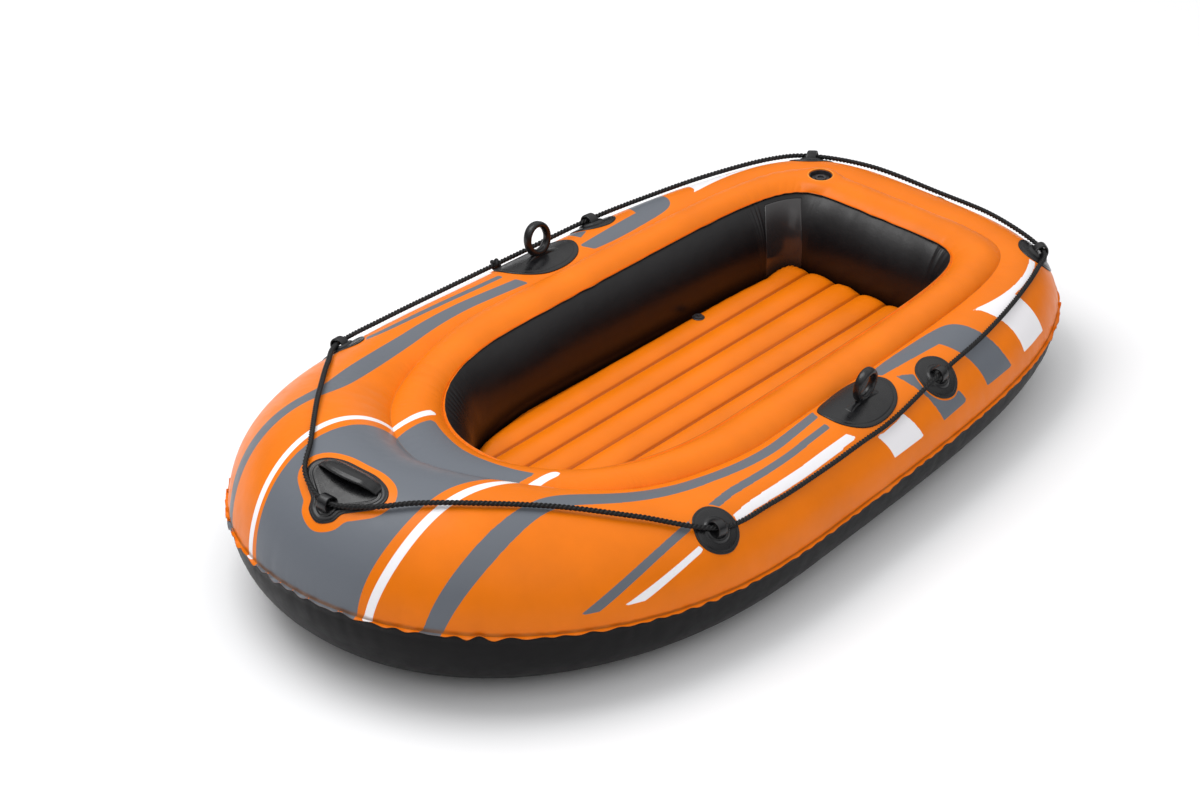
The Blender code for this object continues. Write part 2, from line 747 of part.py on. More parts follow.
def crown_place(centre):
    """Lays flat drawing points on the inner tube's crown round a plan point. w runs inboard."""
    centre = np.array(centre, float)
    origin, direction = ray_through(centre)
    along = np.array((-direction[0, 1], direction[0, 0]))

    def lay(s, w, lift):
        s, w, lift = np.broadcast_arrays(*(np.array(v, float) for v in (s, w, lift)))
        plan = centre + s[:, None] * along - w[:, None] * direction
        origins, directions = ray_through(plan)
        at = Section(origins, directions)
        across = ((plan - origins) * directions).sum(1) - at.crown_centre[:, 0]
        z = at.crown_centre[:, 1] + np.sqrt((at.crown_radius + lift) ** 2 - across ** 2)
        return np.column_stack([plan, z])

    return lay


def smooth_loop(points, steps):
    """A closed smooth curve through a few points (Catmull-Rom), steps points for each of them."""
    points = np.array(points, float)
    before, after = np.roll(points, 1, 0), np.roll(points, -1, 0)
    later = np.roll(points, -2, 0)
    made = []
    for k in range(steps):
        t = k / steps
        made.append(0.5 * (2 * points + (after - before) * t
                           + (2 * before - 5 * points + 4 * after - later) * t ** 2
                           + (3 * points - before - 3 * after + later) * t ** 3))
    return np.stack(made, 1).reshape(-1, points.shape[1])


def patch_object(name, lay, outline, skin_band, roughness=0.45):
    """A thin moulded patch with a rounded rim. Its underside is cut to follow the skin's faces."""

    def ring(share, lift):
        return lay(outline[:, 0] * share, outline[:, 1] * share, lift)

    high = gap + patch_thickness
    edge = gap + patch_thickness * patch_edge_share
    rings = [ring(1, -patch_root), ring(1, edge), ring(patch_rim_share, high),
             ring(patch_inner_share, high)]
    patch = rings_object(name, rings, moulded_black, roughness, lay(0, 0, -patch_root),
                         lay(0, 0, high))
    boolean(patch, skin_band, "DIFFERENCE")
    return patch


def boss_object(name, lay, s, w, radius, height, low):
    """A round step on a patch, with a sloped side."""
    angles = np.linspace(0, 2 * math.pi, ring_sides, endpoint=False)

    def ring(size, lift):
        return lay(s + size * np.cos(angles), w + size * np.sin(angles), lift)

    top = low + root_depth + height
    start, end = lay(s, w, low), lay(s, w, top)
    return rings_object(name, [ring(radius, low), ring(radius - height, top)], start=start, end=end)


def eye_object(name, lay, s, w, low):
    """A band that arches over the rope, open along s."""
    rings = []
    inner_half, inner_height = eye_span / 2 - eye_wall, eye_height - eye_wall
    for k in range(eye_steps + 1):
        angle = math.pi * k / eye_steps
        across, up = math.cos(angle), math.sin(angle)
        ends = (-eye_width / 2, eye_width / 2)
        outside = [(s + e, w + eye_span / 2 * across, low + eye_height * up) for e in ends]
        inside = [(s + e, w + inner_half * across, low + inner_height * up) for e in ends[::-1]]
        corner = np.array(outside + inside)
        rings.append(lay(corner[:, 0], corner[:, 1], corner[:, 2]))
    return rings_object(name, rings)


def make_holder(name, centre, side, skin_band):
    lay = outer_place(centre, side)
    outline = smooth_loop(
        np.array(holder_outline_shares) * (holder_length / 2, holder_width / 2), outline_steps)
    patch = patch_object(name, lay, outline, skin_band)
    base = gap + patch_thickness - root_depth
    boolean(patch, boss_object(name + "_boss", lay, 0, 0, boss_radius, boss_height, base), "UNION")
    boolean(patch, eye_object(name + "_eye", lay, 0, 0, base + boss_height), "UNION")
    return patch


def make_oarlock(name, side, skin_band):
    """Patch with an upright ring on a waisted foot. The rope runs over the patch's outboard rim."""
    lay = outer_place(oarlock_place, side)
    shares = np.array(oarlock_outline_shares) * (1, side)
    outline = smooth_loop(shares * (oarlock_length / 2, oarlock_width / 2), outline_steps)
    patch = patch_object(name, lay, outline, skin_band, 0.4)
    base = gap + patch_thickness - root_depth
    half_foot = oar_ring_foot_length / 2
    foot_rings = []
    for share, width, top in oar_ring_foot_shares:
        half = oar_ring_foot_width * width / 2
        lift = base + oar_ring_foot_height * top
        s = np.full(4, share * half_foot)
        foot_rings.append(lay(s, np.array((-half, half, half, -half)), np.array((base, base, lift, lift))))
    boolean(patch, rings_object(name + "_foot", foot_rings), "UNION")
    centre_lift = base + oar_ring_foot_height + oar_ring_half_height
    verts, steps = [], ring_sides
    for k in range(steps):
        turn = 2 * math.pi * k / steps
        for j in range(bar_sides):
            around = 2 * math.pi * j / bar_sides
            out = oar_bar_radius * math.cos(around)
            s = (oar_ring_half_length + out) * math.cos(turn)
            lift = centre_lift + (oar_ring_half_height + out) * math.sin(turn)
            verts.append((s, oar_bar_radius * math.sin(around), lift))
    verts = np.array(verts)
    faces = ring_faces(steps, bar_sides)
    last = (steps - 1) * bar_sides
    faces += [(last + j, last + (j + 1) % bar_sides, (j + 1) % bar_sides, j) for j in range(bar_sides)]
    ring = object_from(name + "_ring", lay(verts[:, 0], verts[:, 1], verts[:, 2]), faces)
    boolean(patch, ring, "UNION")
    return patch


def make_bow_handle(skin_band):
    """Patch with three lobes, a raised grip across it and the rope's eye on the foremost lobe."""
    lay = outer_place(bow_place)
    outline = smooth_loop(
        np.array(bow_outline_shares) * (bow_patch_half_length, bow_patch_half_width), outline_steps)
    patch = patch_object("bow_handle", lay, outline, skin_band)
    base = gap + patch_thickness - root_depth
    boolean(patch, eye_object("bow_eye", lay, 0, bow_eye_offset, base), "UNION")
    rings = []
    for share, top in grip_shares:
        half = grip_width / 2
        lift = base + grip_height * top
        under = max(lift - grip_thickness, base)
        w = grip_offset + np.array((-half, half, half, -half))
        rings.append(lay(np.full(4, share * grip_half_length), w, np.array((under, under, lift, lift))))
    boolean(patch, rings_object("bow_grip", rings), "UNION")
    return patch


def rope_side(side):
    """Route points on one side, bow to stern. The second value marks the middle of an eye."""
    on_patch = gap + patch_thickness - root_depth + (eye_height - eye_wall) / 2
    route = []
    for name, spans in rope_span_shares[side]:
        for shares in spans:
            route.append((outer_place(on_hull(shares), side)(0, 0, rope_free_lift), False))
        route.append((outer_place(holder_places[name], side)(0, 0, on_patch + boss_height), True))
    return route


def rope_route():
    """The whole round, from the bow's eye down the right side and back up the left."""
    on_patch = gap + patch_thickness - root_depth + (eye_height - eye_wall) / 2
    bow = outer_place(bow_place)(0, bow_eye_offset, on_patch)
    stern = []
    for x, y in map(on_hull, rope_stern_shares):
        side = -1 if x < 0 else 1
        stern.append((outer_place((abs(x), y), side)(0, 0, rope_free_lift), False))
    return [(bow, True)] + rope_side(1) + stern + rope_side(-1)[::-1]


def make_rope():
    """The rope as one closed run through every eye, with a point at the middle of each eye."""
    route = rope_route()
    dense = smooth_loop([point for point, _ in route], rope_curve_steps)
    dense = np.concatenate([dense, dense[:1]])
    length = np.concatenate([[0], np.cumsum(np.linalg.norm(np.diff(dense, axis=0), axis=1))])
    stops = [k * rope_curve_steps for k, (_, eye) in enumerate(route) if eye] + [len(dense) - 1]
    places = []
    for a, b in zip(stops, stops[1:]):
        count = max(2, round((length[b] - length[a]) / rope_pitch))
        places += list(np.linspace(length[a], length[b], count, endpoint=False))
    points = np.column_stack([np.interp(places, length, dense[:, k]) for k in range(3)])
    curve = bpy.data.curves.new("grab_rope", "CURVE")
    curve.dimensions = "3D"
    spline = curve.splines.new("POLY")
    spline.points.add(len(points) - 1)
    for point, place in zip(spline.points, points):
        point.co = (*place, 1)
    spline.use_cyclic_u = True
    curve.bevel_depth = rope_radius
    curve.bevel_resolution = 2
    curve.use_fill_caps = True
    curve.materials.append(material("grab_rope", rope_black, 0.7))
    rope = bpy.data.objects.new("grab_rope", curve)
    bpy.context.scene.collection.objects.link(rope)
    print("grab rope", len(points), "points,", round(float(length[-1]), 3), "m")


def make_main_valve(top_skin, above_band):
    """Cup with its weld ring, screwed insert with its spider, diaphragm, and cap."""
    lay = crown_place(main_valve_place)
    crown_z = float(lay(np.zeros(1), np.zeros(1), sheet)[0, 2])
    rim = crown_z - valve_rim_drop
    centre = (*main_valve_place, rim)
    up = (0, 0, 1)
    hole_depth = cutter_share * valve_neck_depth
    cutter = turned_object("main_valve_hole", (
        (0, hole_depth), (valve_hole_radius, hole_depth), (valve_hole_radius, -hole_depth),
        (0, -hole_depth)), centre, up)
    boolean(top_skin, cutter, "DIFFERENCE")

    cup_outer = valve_hole_radius - gap
    cup_inner = cup_outer - valve_cup_wall
    floor_z = -valve_cup_depth
    under_z = floor_z - valve_cup_wall
    neck_outer = valve_bore_radius + valve_neck_wall
    base = turned_object("main_valve_base", (
        (cup_inner, 0), (cup_outer, 0), (cup_outer, under_z), (neck_outer, under_z),
        (neck_outer, -valve_neck_depth), (valve_bore_radius, -valve_neck_depth),
        (valve_bore_radius, floor_z), (cup_inner, floor_z)), centre, up, moulded_black)
    angles = np.linspace(0, 2 * math.pi, small_ring_sides, endpoint=False)

    def weld_ring(radius, lift):
        return lay(radius * np.cos(angles), radius * np.sin(angles), lift)

    inner_edge = cup_outer - valve_cup_wall / 2
    high, low = 0, -valve_weld_thickness
    loops = [weld_ring(inner_edge, high), weld_ring(valve_weld_radius, high),
             weld_ring(valve_weld_radius, low), weld_ring(inner_edge, low)]
    verts = np.concatenate(loops)
    faces = ring_faces(len(loops), small_ring_sides)
    last = (len(loops) - 1) * small_ring_sides
    faces += [(last + s, last + (s + 1) % small_ring_sides, (s + 1) % small_ring_sides, s)
              for s in range(small_ring_sides)]
    ring = object_from("main_valve_weld_ring", verts, faces)
    boolean(ring, above_band, "DIFFERENCE")
    boolean(base, ring, "UNION")

    insert_outer = valve_bore_radius - gap
    insert_inner = insert_outer - insert_wall
    seat_inner = insert_inner - insert_seat_width
    collar_low = floor_z + gap
    collar_top = collar_low + insert_collar_thickness
    seat_top = -insert_depth + spider_thickness
    insert = turned_object("main_valve_insert", (
        (insert_inner, collar_top), (insert_collar_radius, collar_top),
        (insert_collar_radius, collar_low), (insert_outer, collar_low),
        (insert_outer, -insert_depth), (seat_inner, -insert_depth), (seat_inner, seat_top),
        (insert_inner, seat_top)), centre, up, moulded_black)
    bar_reach = (seat_inner + insert_inner) / 2
    bar_middle = rim - insert_depth + spider_thickness / 2
    half_bar = spider_bar_width / 2
    bars = (("spider_bar_x", bar_reach, half_bar), ("spider_bar_y", half_bar, bar_reach))
    for name, half_x, half_y in bars:
        thin = spider_thickness / 2 - spider_set_back
        rings = [[(main_valve_place[0] + a * half_x, main_valve_place[1] + b * half_y, bar_middle + h)
                  for a, b in ((-1, -1), (1, -1), (1, 1), (-1, 1))] for h in (-thin, thin)]
        boolean(insert, rings_object(name, rings), "UNION")
    thin = spider_thickness / 2 - 2 * spider_set_back
    hub = turned_object("spider_hub", (
        (0, thin), (spider_hub_radius, thin), (spider_hub_radius, -thin), (0, -thin)),
        (*main_valve_place, bar_middle), up)
    boolean(insert, hub, "UNION")
    stem_hole = diaphragm_stem_radius + gap
    hole = turned_object("spider_hole", (
        (0, spider_thickness), (stem_hole, spider_thickness), (stem_hole, -spider_thickness),
        (0, -spider_thickness)), (*main_valve_place, bar_middle), up)
    boolean(insert, hole, "DIFFERENCE")

    disc_top = -insert_depth - gap
    disc_low = disc_top - diaphragm_thickness
    head_low = seat_top + gap + diaphragm_travel
    head_top = head_low + diaphragm_head_thickness
    disc_radius = seat_inner + diaphragm_overlap
    turned_object("main_valve_diaphragm", (
        (0, head_top), (diaphragm_head_radius, head_top), (diaphragm_head_radius, head_low),
        (diaphragm_stem_radius, head_low), (diaphragm_stem_radius, disc_top),
        (disc_radius, disc_top), (disc_radius, disc_low), (0, disc_low)), centre, up, rope_black, 0.6)

    cap_low = collar_top + gap
    cap_top = cap_low + cap_thickness
    ring_top = cap_top + cap_ring_height
    skirt_outer = insert_inner - gap
    skirt_inner = skirt_outer - cap_skirt_wall
    turned_object("main_valve_cap", (
        (0, cap_top), (cap_ring_inner, cap_top), (cap_ring_inner, ring_top),
        (cap_ring_outer, ring_top), (cap_ring_outer, cap_top), (insert_collar_radius, cap_top),
        (insert_collar_radius, cap_low), (skirt_outer, cap_low), (skirt_outer, cap_low - cap_skirt_depth),
        (skirt_inner, cap_low - cap_skirt_depth), (skirt_inner, cap_low), (0, cap_low)),
        centre, up, moulded_black)


def make_plug_valve(name, skin, band, centre, axis, flange, bore):
    """A small valve: a flanged neck through the skin, and the plug that closes it."""
    centre = np.array(centre, float)
    neck = bore + plug_valve_wall
    hole = neck + gap
    cut = cutter_share * plug_neck_depth
    cutter = turned_object(name + "_hole", ((0, cut), (hole, cut), (hole, -cut), (0, -cut)), centre, axis)
    boolean(skin, cutter, "DIFFERENCE")
    top = gap + plug_flange_thickness
    seat = top - plug_seat_depth
    middle = bore + plug_valve_wall / 2
    base = turned_object(name + "_base", (
        (middle, top), (flange, top), (flange, -patch_root), (middle, -patch_root)),
        centre, axis, moulded_black)
    boolean(base, band, "DIFFERENCE")
    tube = turned_object(name + "_neck", (
        (bore, seat), (neck, seat), (neck, -plug_neck_depth), (bore, -plug_neck_depth)),
        centre, axis)
    boolean(base, tube, "UNION")
    head_low = top + gap
    head_top = head_low + plug_head_thickness
    head = flange - plug_head_margin
    body = bore - gap
    turned_object(name + "_plug", (
        (0, head_top + plug_tab_height), (plug_tab_radius, head_top + plug_tab_height),
        (plug_tab_radius, head_top), (head, head_top), (head, head_low), (body, head_low),
        (body, head_low - plug_depth), (0, head_low - plug_depth)), centre, axis, moulded_black)


def make_floor_valve(floor_top):
    band = floor_sheet("floor_band", floor_top_z - patch_root, floor_crease_height - patch_root,
                       floor_ridge_height - patch_root, patch_root + sheet + gap, None)
    z = floor_ridge_height + sheet
    make_plug_valve("floor_valve", floor_top, band, (*floor_valve_place, z), (0, 0, 1),
                    floor_valve_flange, floor_valve_bore)


def make_stern_valve(top_skin, skin_band):
    """On the aft side of the stern tube, square to it."""
    origin, direction = np.array([(0, corner_centre_y)]), np.array([(0.0, 1.0)])
    at = Section(origin, direction)
    radius = float(at.outer_radius[0]) + sheet
    out, up = math.cos(stern_valve_angle), math.sin(stern_valve_angle)
    y = corner_centre_y + float(at.outer_centre[0]) + radius * out
    z = float(at.seam_z[0]) + half_gap + radius * up
    make_plug_valve("stern_valve", top_skin, skin_band, (0, y, z), (0, out, up),
                    stern_valve_flange, stern_valve_bore)


def make_boat():
    empty_scene()
    top_skin, skin_band, above_band = make_hull()
    make_wall_strip()
    floor_top = make_floor()
    make_main_valve(top_skin, above_band)
    make_stern_valve(top_skin, skin_band)
    make_floor_valve(floor_top)
    make_bow_handle(skin_band)
    for side_name, side in (("right", 1), ("left", -1)):
        make_oarlock("oarlock_" + side_name, side, skin_band)
        for place_name, place in holder_places.items():
            make_holder(f"rope_holder_{place_name}_{side_name}", place, side, skin_band)
    make_rope()


make_boat()
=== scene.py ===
# %% [markdown]
# # An inflatable boat, made piece by piece
#
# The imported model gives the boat's true sizes and the bodies that its pieces ride on. This lesson puts
# finely made surfaces over it: the printed film of the hull, the ribbed air floor, the moulded fittings,
# the valves and the twisted grab rope. Each surface is a function of two parameters, worked out with
# numpy on a grid, so the reader can change one number and see what it does.

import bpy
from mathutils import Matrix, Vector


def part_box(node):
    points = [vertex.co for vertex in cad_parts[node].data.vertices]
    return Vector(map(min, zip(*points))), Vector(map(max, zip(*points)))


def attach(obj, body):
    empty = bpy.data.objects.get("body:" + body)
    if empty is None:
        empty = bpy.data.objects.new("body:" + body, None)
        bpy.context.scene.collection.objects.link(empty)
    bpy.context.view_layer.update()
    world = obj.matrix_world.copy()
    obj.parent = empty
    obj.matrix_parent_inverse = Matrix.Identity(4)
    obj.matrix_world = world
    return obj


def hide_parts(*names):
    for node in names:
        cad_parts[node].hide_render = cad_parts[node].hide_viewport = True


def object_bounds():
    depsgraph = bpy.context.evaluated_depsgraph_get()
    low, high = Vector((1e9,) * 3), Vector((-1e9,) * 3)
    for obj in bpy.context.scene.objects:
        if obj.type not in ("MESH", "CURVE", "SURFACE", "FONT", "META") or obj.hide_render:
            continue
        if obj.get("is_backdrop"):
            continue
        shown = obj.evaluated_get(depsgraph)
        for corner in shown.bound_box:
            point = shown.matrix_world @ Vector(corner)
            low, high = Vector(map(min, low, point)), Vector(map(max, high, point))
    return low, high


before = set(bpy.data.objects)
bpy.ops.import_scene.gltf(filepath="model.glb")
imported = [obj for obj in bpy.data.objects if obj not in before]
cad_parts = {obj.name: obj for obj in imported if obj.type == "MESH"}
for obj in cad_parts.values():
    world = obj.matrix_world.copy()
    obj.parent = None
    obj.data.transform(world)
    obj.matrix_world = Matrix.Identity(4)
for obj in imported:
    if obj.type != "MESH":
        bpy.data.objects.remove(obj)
cad_box = [[float(value) for value in corner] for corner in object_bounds()]
print("box of the solids:", cad_box)

# %% [markdown]
# The camera comes first. Its place and lens were found by fitting the boat's outline, so that one pixel
# of the picture is about one and a half millimetres at the boat. A long lens from six metres away keeps
# the far side nearly as large as the near side.

# %% The camera
import math

import bmesh
import bpy
import numpy as np
from mathutils import Matrix, Vector
from mathutils.kdtree import KDTree

azimuth, elevation = math.radians(41.74), math.radians(31.86)
eye = Vector((3.3932, -3.9189, 3.3463))
lens_mm, sensor_mm = 116.21, 36


def placed(name, data):
    """A new object in the scene that shows the data."""
    made = bpy.data.objects.new(name, data)
    bpy.context.scene.collection.objects.link(made)
    return made


back = Vector((math.sin(azimuth) * math.cos(elevation), -math.cos(azimuth) * math.cos(elevation),
               math.sin(elevation)))
right = Vector((math.cos(azimuth), math.sin(azimuth), 0))
camera_data = bpy.data.cameras.new("camera")
camera_data.lens, camera_data.sensor_width = lens_mm, sensor_mm
camera = placed("camera", camera_data)
turn = Matrix((right, back.cross(right), back)).transposed().to_4x4()
camera.matrix_world = Matrix.Translation(eye) @ turn
bpy.context.scene.camera = camera
bpy.context.scene.view_settings.view_transform = "Standard"
print("camera at", tuple(eye), "lens", camera_data.lens)

# %% [markdown]
# A boat like this is cut from flat film and welded along four loops: the outer weld, the crease between
# the two tubes, the cockpit's edge, and the floor's weld. Seen from above each loop is a superellipse, a
# curve that can be rounder at the bow and squarer at the stern. Every cross-section stands on a ray that
# runs outwards from the cockpit, square to the tube, and is made of circle arcs, because air pressure
# makes circles of any film that it stretches.

# %% The hull's measures, the same as the solids'
film, gap = 0.0005, 0.0003
half_gap = gap / 2
hull_length, hull_half_width, hull_widest_y = 1.55, 0.438, -0.086
bow_deck, stern_deck, side_deck = 0.399, 0.188, 0.2225
# How far the crease lies outside the cockpit's edge, and where the rays' fan and corners start inside it.
crease_side, crease_bow, crease_stern = 0.0773, 0.1266, 0.0733
fan_inset, corner_inset_x, corner_inset_y = 0.156, 0.095, 0.127
# A loop: half width, bow end, stern end, widest place, powers towards bow and stern, taper.
half_length = hull_length / 2
cockpit_half_width = hull_half_width - side_deck
cockpit_bow, cockpit_stern = -half_length + bow_deck, half_length - stern_deck
cockpit_widest_y = -0.060
seam_loop = (hull_half_width, -half_length, half_length, hull_widest_y, (2.08, 3.94), -0.208)
crease_loop = (cockpit_half_width + crease_side, cockpit_bow - crease_bow, cockpit_stern + crease_stern,
               cockpit_widest_y, (1.72, 6.87), -0.263)
cockpit_loop = (cockpit_half_width, cockpit_bow, cockpit_stern, cockpit_widest_y, (2.28, 6.87), -0.139)
bow_y = cockpit_bow + fan_inset
corner_x, corner_y = cockpit_half_width - corner_inset_x, cockpit_stern - corner_inset_y
seam_flange, cockpit_flange, floor_flange, floor_inset = 0.007, 0.005, 0.010, 0.025
crown_rise, wall_bulge, floor_weld_z = 0.017, 0.030, 0.050
seam_height, seam_bow_lift, seam_stern_lift = 0.1104, 0.0428, 0.0104
crease_height, crease_bow_lift = 0.2031, 0.0388
cockpit_height, cockpit_bow_drop = 0.2051, 0.0062
print("cockpit from", round(cockpit_bow, 3), "to", round(cockpit_stern, 3), "m")

# %% Rays and loops
halvings = 40


def rays(u, side=1.0):
    """Origin and direction of each cross-section. u runs 0 to 1 round the bow, 1 to 2 along the side, 2 to
    3 round the stern's corner and 3 to 4 along the stern; side is +1 or -1."""
    u, side = np.broadcast_arrays(np.asarray(u, float), side)
    along, home = np.clip(u - 1, 0, 1), np.clip(u - 3, 0, 1)
    origin = np.stack([side * corner_x * along * (1 - home), bow_y + (corner_y - bow_y) * along], -1)
    angle = np.where(u <= 2, np.clip(u, 0, 1) - 1, np.clip(u - 2, 0, 1)) * math.pi / 2
    return origin, np.stack([side * np.cos(angle), np.sin(angle)], -1)


def reach(origin, direction, loop):
    """Distance along each ray to a superellipse |x/w|^n + |y/l|^n = 1, found by halving."""
    half_width, bow, stern, widest, powers, taper = loop
    low, high = np.zeros(len(origin)), np.full(len(origin), 2 * hull_length)
    for _ in range(halvings):
        middle = (low + high) / 2
        x, y = (origin + middle[:, None] * direction).T
        y = y - widest
        power = np.where(y >= 0, powers[1], powers[0])
        end = np.where(y >= 0, stern - widest, widest - bow)
        width = np.maximum(half_width * (1 + taper * y / hull_length), half_width / 10)
        inside = (np.abs(x) / width) ** power + (np.abs(y) / end) ** power < 1
        low, high = np.where(inside, middle, low), np.where(inside, high, middle)
    return low


def ray_through(points):
    """The ray that holds each plan point, chosen by the region that the point lies in."""
    x, y = np.asarray(points, float).T
    side = np.where(x >= 0, 1.0, -1.0)
    share = (y - bow_y) / (corner_y - bow_y)
    zero = np.zeros_like(x)
    in_bow, in_side = y < bow_y, (y >= bow_y) & (y <= corner_y)
    in_corner = (y > corner_y) & (np.abs(x) > corner_x)
    from_x = np.select([in_bow, in_side, in_corner], [zero, side * corner_x * share, side * corner_x], x)
    origin = np.stack([from_x, np.select([in_bow, in_side], [zero + bow_y, y], corner_y)], -1)
    away = np.stack([x, y], -1) - origin
    away = away / np.maximum(np.linalg.norm(away, axis=1, keepdims=True), 1e-9)
    away[in_side] = np.stack([side, zero], -1)[in_side]
    away[~(in_bow | in_side | in_corner)] = (0, 1)
    return origin, away


print("half width at the widest place:", reach(*rays(np.array([1.2])), seam_loop).round(4))

# %% Cross-sections


class Section:
    """Welds and arcs on each ray. The outer tube is one arc from the weld to the crease, upright at the
    weld: radius = (d^2 + h^2) / 2d for a width d and a height h. The inner tube is an arc of known rise."""

    def __init__(self, origin, direction):
        """Works out the welds' places and the arcs between them on the given rays."""
        bow, stern = np.clip(-direction[:, 1], 0, 1) ** 2, np.clip(direction[:, 1], 0, 1) ** 2
        self.origin, self.direction = origin, direction
        self.edge = reach(origin, direction, seam_loop)
        self.crease = reach(origin, direction, crease_loop)
        self.cockpit = reach(origin, direction, cockpit_loop)
        self.root, self.floor = self.edge - seam_flange, self.cockpit - floor_inset
        self.seam_z = seam_height + seam_bow_lift * bow + seam_stern_lift * stern
        self.crease_z = crease_height + crease_bow_lift * bow
        self.cockpit_z = cockpit_height - cockpit_bow_drop * bow
        across, rise = self.root - self.crease, self.crease_z - self.seam_z - half_gap
        self.radius = (across ** 2 + rise ** 2) / (2 * across)
        self.centre = self.root - self.radius
        self.turn = np.arctan2(rise, self.radius - across)
        self.crown_centre, self.crown_radius, self.crown_from, self.crown_turn = arc_over(
            self.crease, self.crease_z, self.cockpit, self.cockpit_z, crown_rise)


def arc_over(x0, z0, x1, z1, rise):
    """Centre, radius, first angle and turn of the arc from (x0, z0) to (x1, z1) that swells by rise."""
    across, up = x1 - x0, z1 - z0
    length = np.hypot(across, up)
    radius = (length ** 2 / 4 + rise ** 2) / (2 * rise)
    normal = np.stack([up, -across], -1) / length[:, None]
    centre = np.stack([(x0 + x1) / 2, (z0 + z1) / 2], -1) - (radius - rise)[:, None] * normal
    first = np.arctan2(z0 - centre[:, 1], x0 - centre[:, 0])
    last = np.arctan2(z1 - centre[:, 1], x1 - centre[:, 0])
    return centre, np.abs(radius), first, (last - first + math.pi) % (2 * math.pi) - math.pi


def on_rays(section, across, z):
    """Points at a distance along each ray and a height, rows by rays."""
    plan = section.origin + across[..., None] * section.direction
    return np.concatenate([plan, np.broadcast_to(z, across.shape)[..., None]], -1)


def top_surface(section, v, lift):
    """Points of the printed skin's outside. v is 0 at the outer weld, 1 at the crease, 2 at the cockpit."""
    on_outer = v <= 1
    angle = section.turn * np.clip(v, 0, 1)
    radius = section.radius + film + lift
    across = section.centre + radius * np.cos(angle)
    z = section.seam_z + half_gap + radius * np.sin(angle)
    crown = section.crown_from + section.crown_turn * np.clip(v - 1, 0, 1)
    radius = section.crown_radius + film + lift
    across = np.where(on_outer, across, section.crown_centre[:, 0] + radius * np.cos(crown))
    z = np.where(on_outer, z, section.crown_centre[:, 1] + radius * np.sin(crown))
    return on_rays(section, across, z)


print("outer tube's radius at the bow, side and stern:",
      Section(*rays(np.array([0, 1.5, 4.0]))).radius.round(4))

# %% [markdown]
# Every grid of points becomes a mesh in the same way. Two neighbouring rows and two neighbouring columns
# make one four-sided face. A grid may close on itself around, across, or both, and a row that shrinks to
# one point is merged afterwards so that its pole is closed.

# %% From a grid to a piece


def quads(rows, columns, close_rows=False, close_columns=False, first=0):
    """Corner numbers of the faces between neighbouring grid points."""
    index = np.arange(rows * columns).reshape(rows, columns) + first
    if close_columns:
        index = np.concatenate([index, index[:, :1]], 1)
    if close_rows:
        index = np.concatenate([index, index[:1]], 0)
    return np.stack([index[:-1, :-1], index[:-1, 1:], index[1:, 1:], index[1:, :-1]], -1).reshape(-1, 4)


def clean(mesh):
    """Merges points that coincide, drops faces without area and turns all faces outwards."""
    work = bmesh.new()
    work.from_mesh(mesh)
    bmesh.ops.remove_doubles(work, verts=work.verts, dist=1e-6)
    bmesh.ops.dissolve_degenerate(work, edges=work.edges, dist=1e-7)
    bmesh.ops.recalc_face_normals(work, faces=work.faces)
    work.to_mesh(mesh)
    work.free()


def piece(name, points, faces, finish, node=None, body="hull", tidy=False, attributes=None):
    """A smooth mesh from arrays that rides on a body and stands for a node of the solids. tidy cleans it,
    and the attributes are kept on its points."""
    mesh = bpy.data.meshes.new(name)
    faces = faces.tolist() if isinstance(faces, np.ndarray) else faces
    mesh.from_pydata(np.asarray(points, float).reshape(-1, 3).tolist(), [], faces)
    for key, values in (attributes or {}).items():
        values = np.asarray(values, np.float32)
        kind, field = ("FLOAT", "value") if values.ndim == 1 else ("FLOAT_VECTOR", "vector")
        mesh.attributes.new(key, kind, "POINT").data.foreach_set(field, values.ravel())
    if tidy:
        clean(mesh)
    mesh.shade_smooth()
    mesh.materials.append(finish.material)
    made = placed(name, mesh)
    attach(made, body)
    if node:
        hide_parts(node)
    print(name, len(mesh.vertices), "points,", len(mesh.polygons), "faces")
    return made


def smooth_line(points, steps, closed=False):
    """A smooth curve through the given points (Catmull-Rom), steps points for each stretch."""
    points = np.asarray(points, float)
    if closed:
        ends = np.concatenate([points[-1:], points, points[:2]])
    else:
        ends = np.concatenate([2 * points[:1] - points[1:2], points, 2 * points[-1:] - points[-2:-1]])
    a, b, c, d = ends[:-3, None], ends[1:-2, None], ends[2:-1, None], ends[3:, None]
    t = (np.arange(steps) / steps)[None, :, None]
    square, cube = 2 * a - 5 * b + 4 * c - d, 3 * b - a - 3 * c + d
    curve = (0.5 * (2 * b + (c - a) * t + square * t ** 2 + cube * t ** 3)).reshape(-1, points.shape[1])
    return curve if closed else np.concatenate([curve, points[-1:]])


def ease(x, low, high):
    """0 below low, 1 above high, and the smooth step 3t^2 - 2t^3 between."""
    t = np.clip((x - low) / (high - low), 0, 1)
    return t * t * (3 - 2 * t)


def hump(x, place, wide):
    """A round hump, 1 at its place: exp(-((x - place) / wide)^2)."""
    return np.exp(-((x - place) / wide) ** 2)


def rounded_edge(away, radius):
    """A quarter circle from 0 at an edge to 1 at the radius: sqrt(1 - (1 - away / radius)^2)."""
    return np.sqrt(1 - (1 - np.clip(away / radius, 0, 1)) ** 2)


def apart(points, place):
    """Distance of each point from a place."""
    return np.linalg.norm(points - place, axis=1)


def full_turn(count):
    """Angles of a whole turn in equal steps, without the last."""
    return 2 * math.pi * np.arange(count) / count


def unit(vectors):
    """Each vector divided by its length."""
    return vectors / np.linalg.norm(vectors, axis=-1, keepdims=True)


def spread(count, crowd):
    """Shares from 0 to 1 that lie closer together at both ends: t - crowd sin(2 pi t)."""
    t = np.arange(count + 1) / count
    return t - crowd * np.sin(2 * math.pi * t)


print("a closed grid of 3 by 4 points has", len(quads(3, 4, True, True)), "faces")


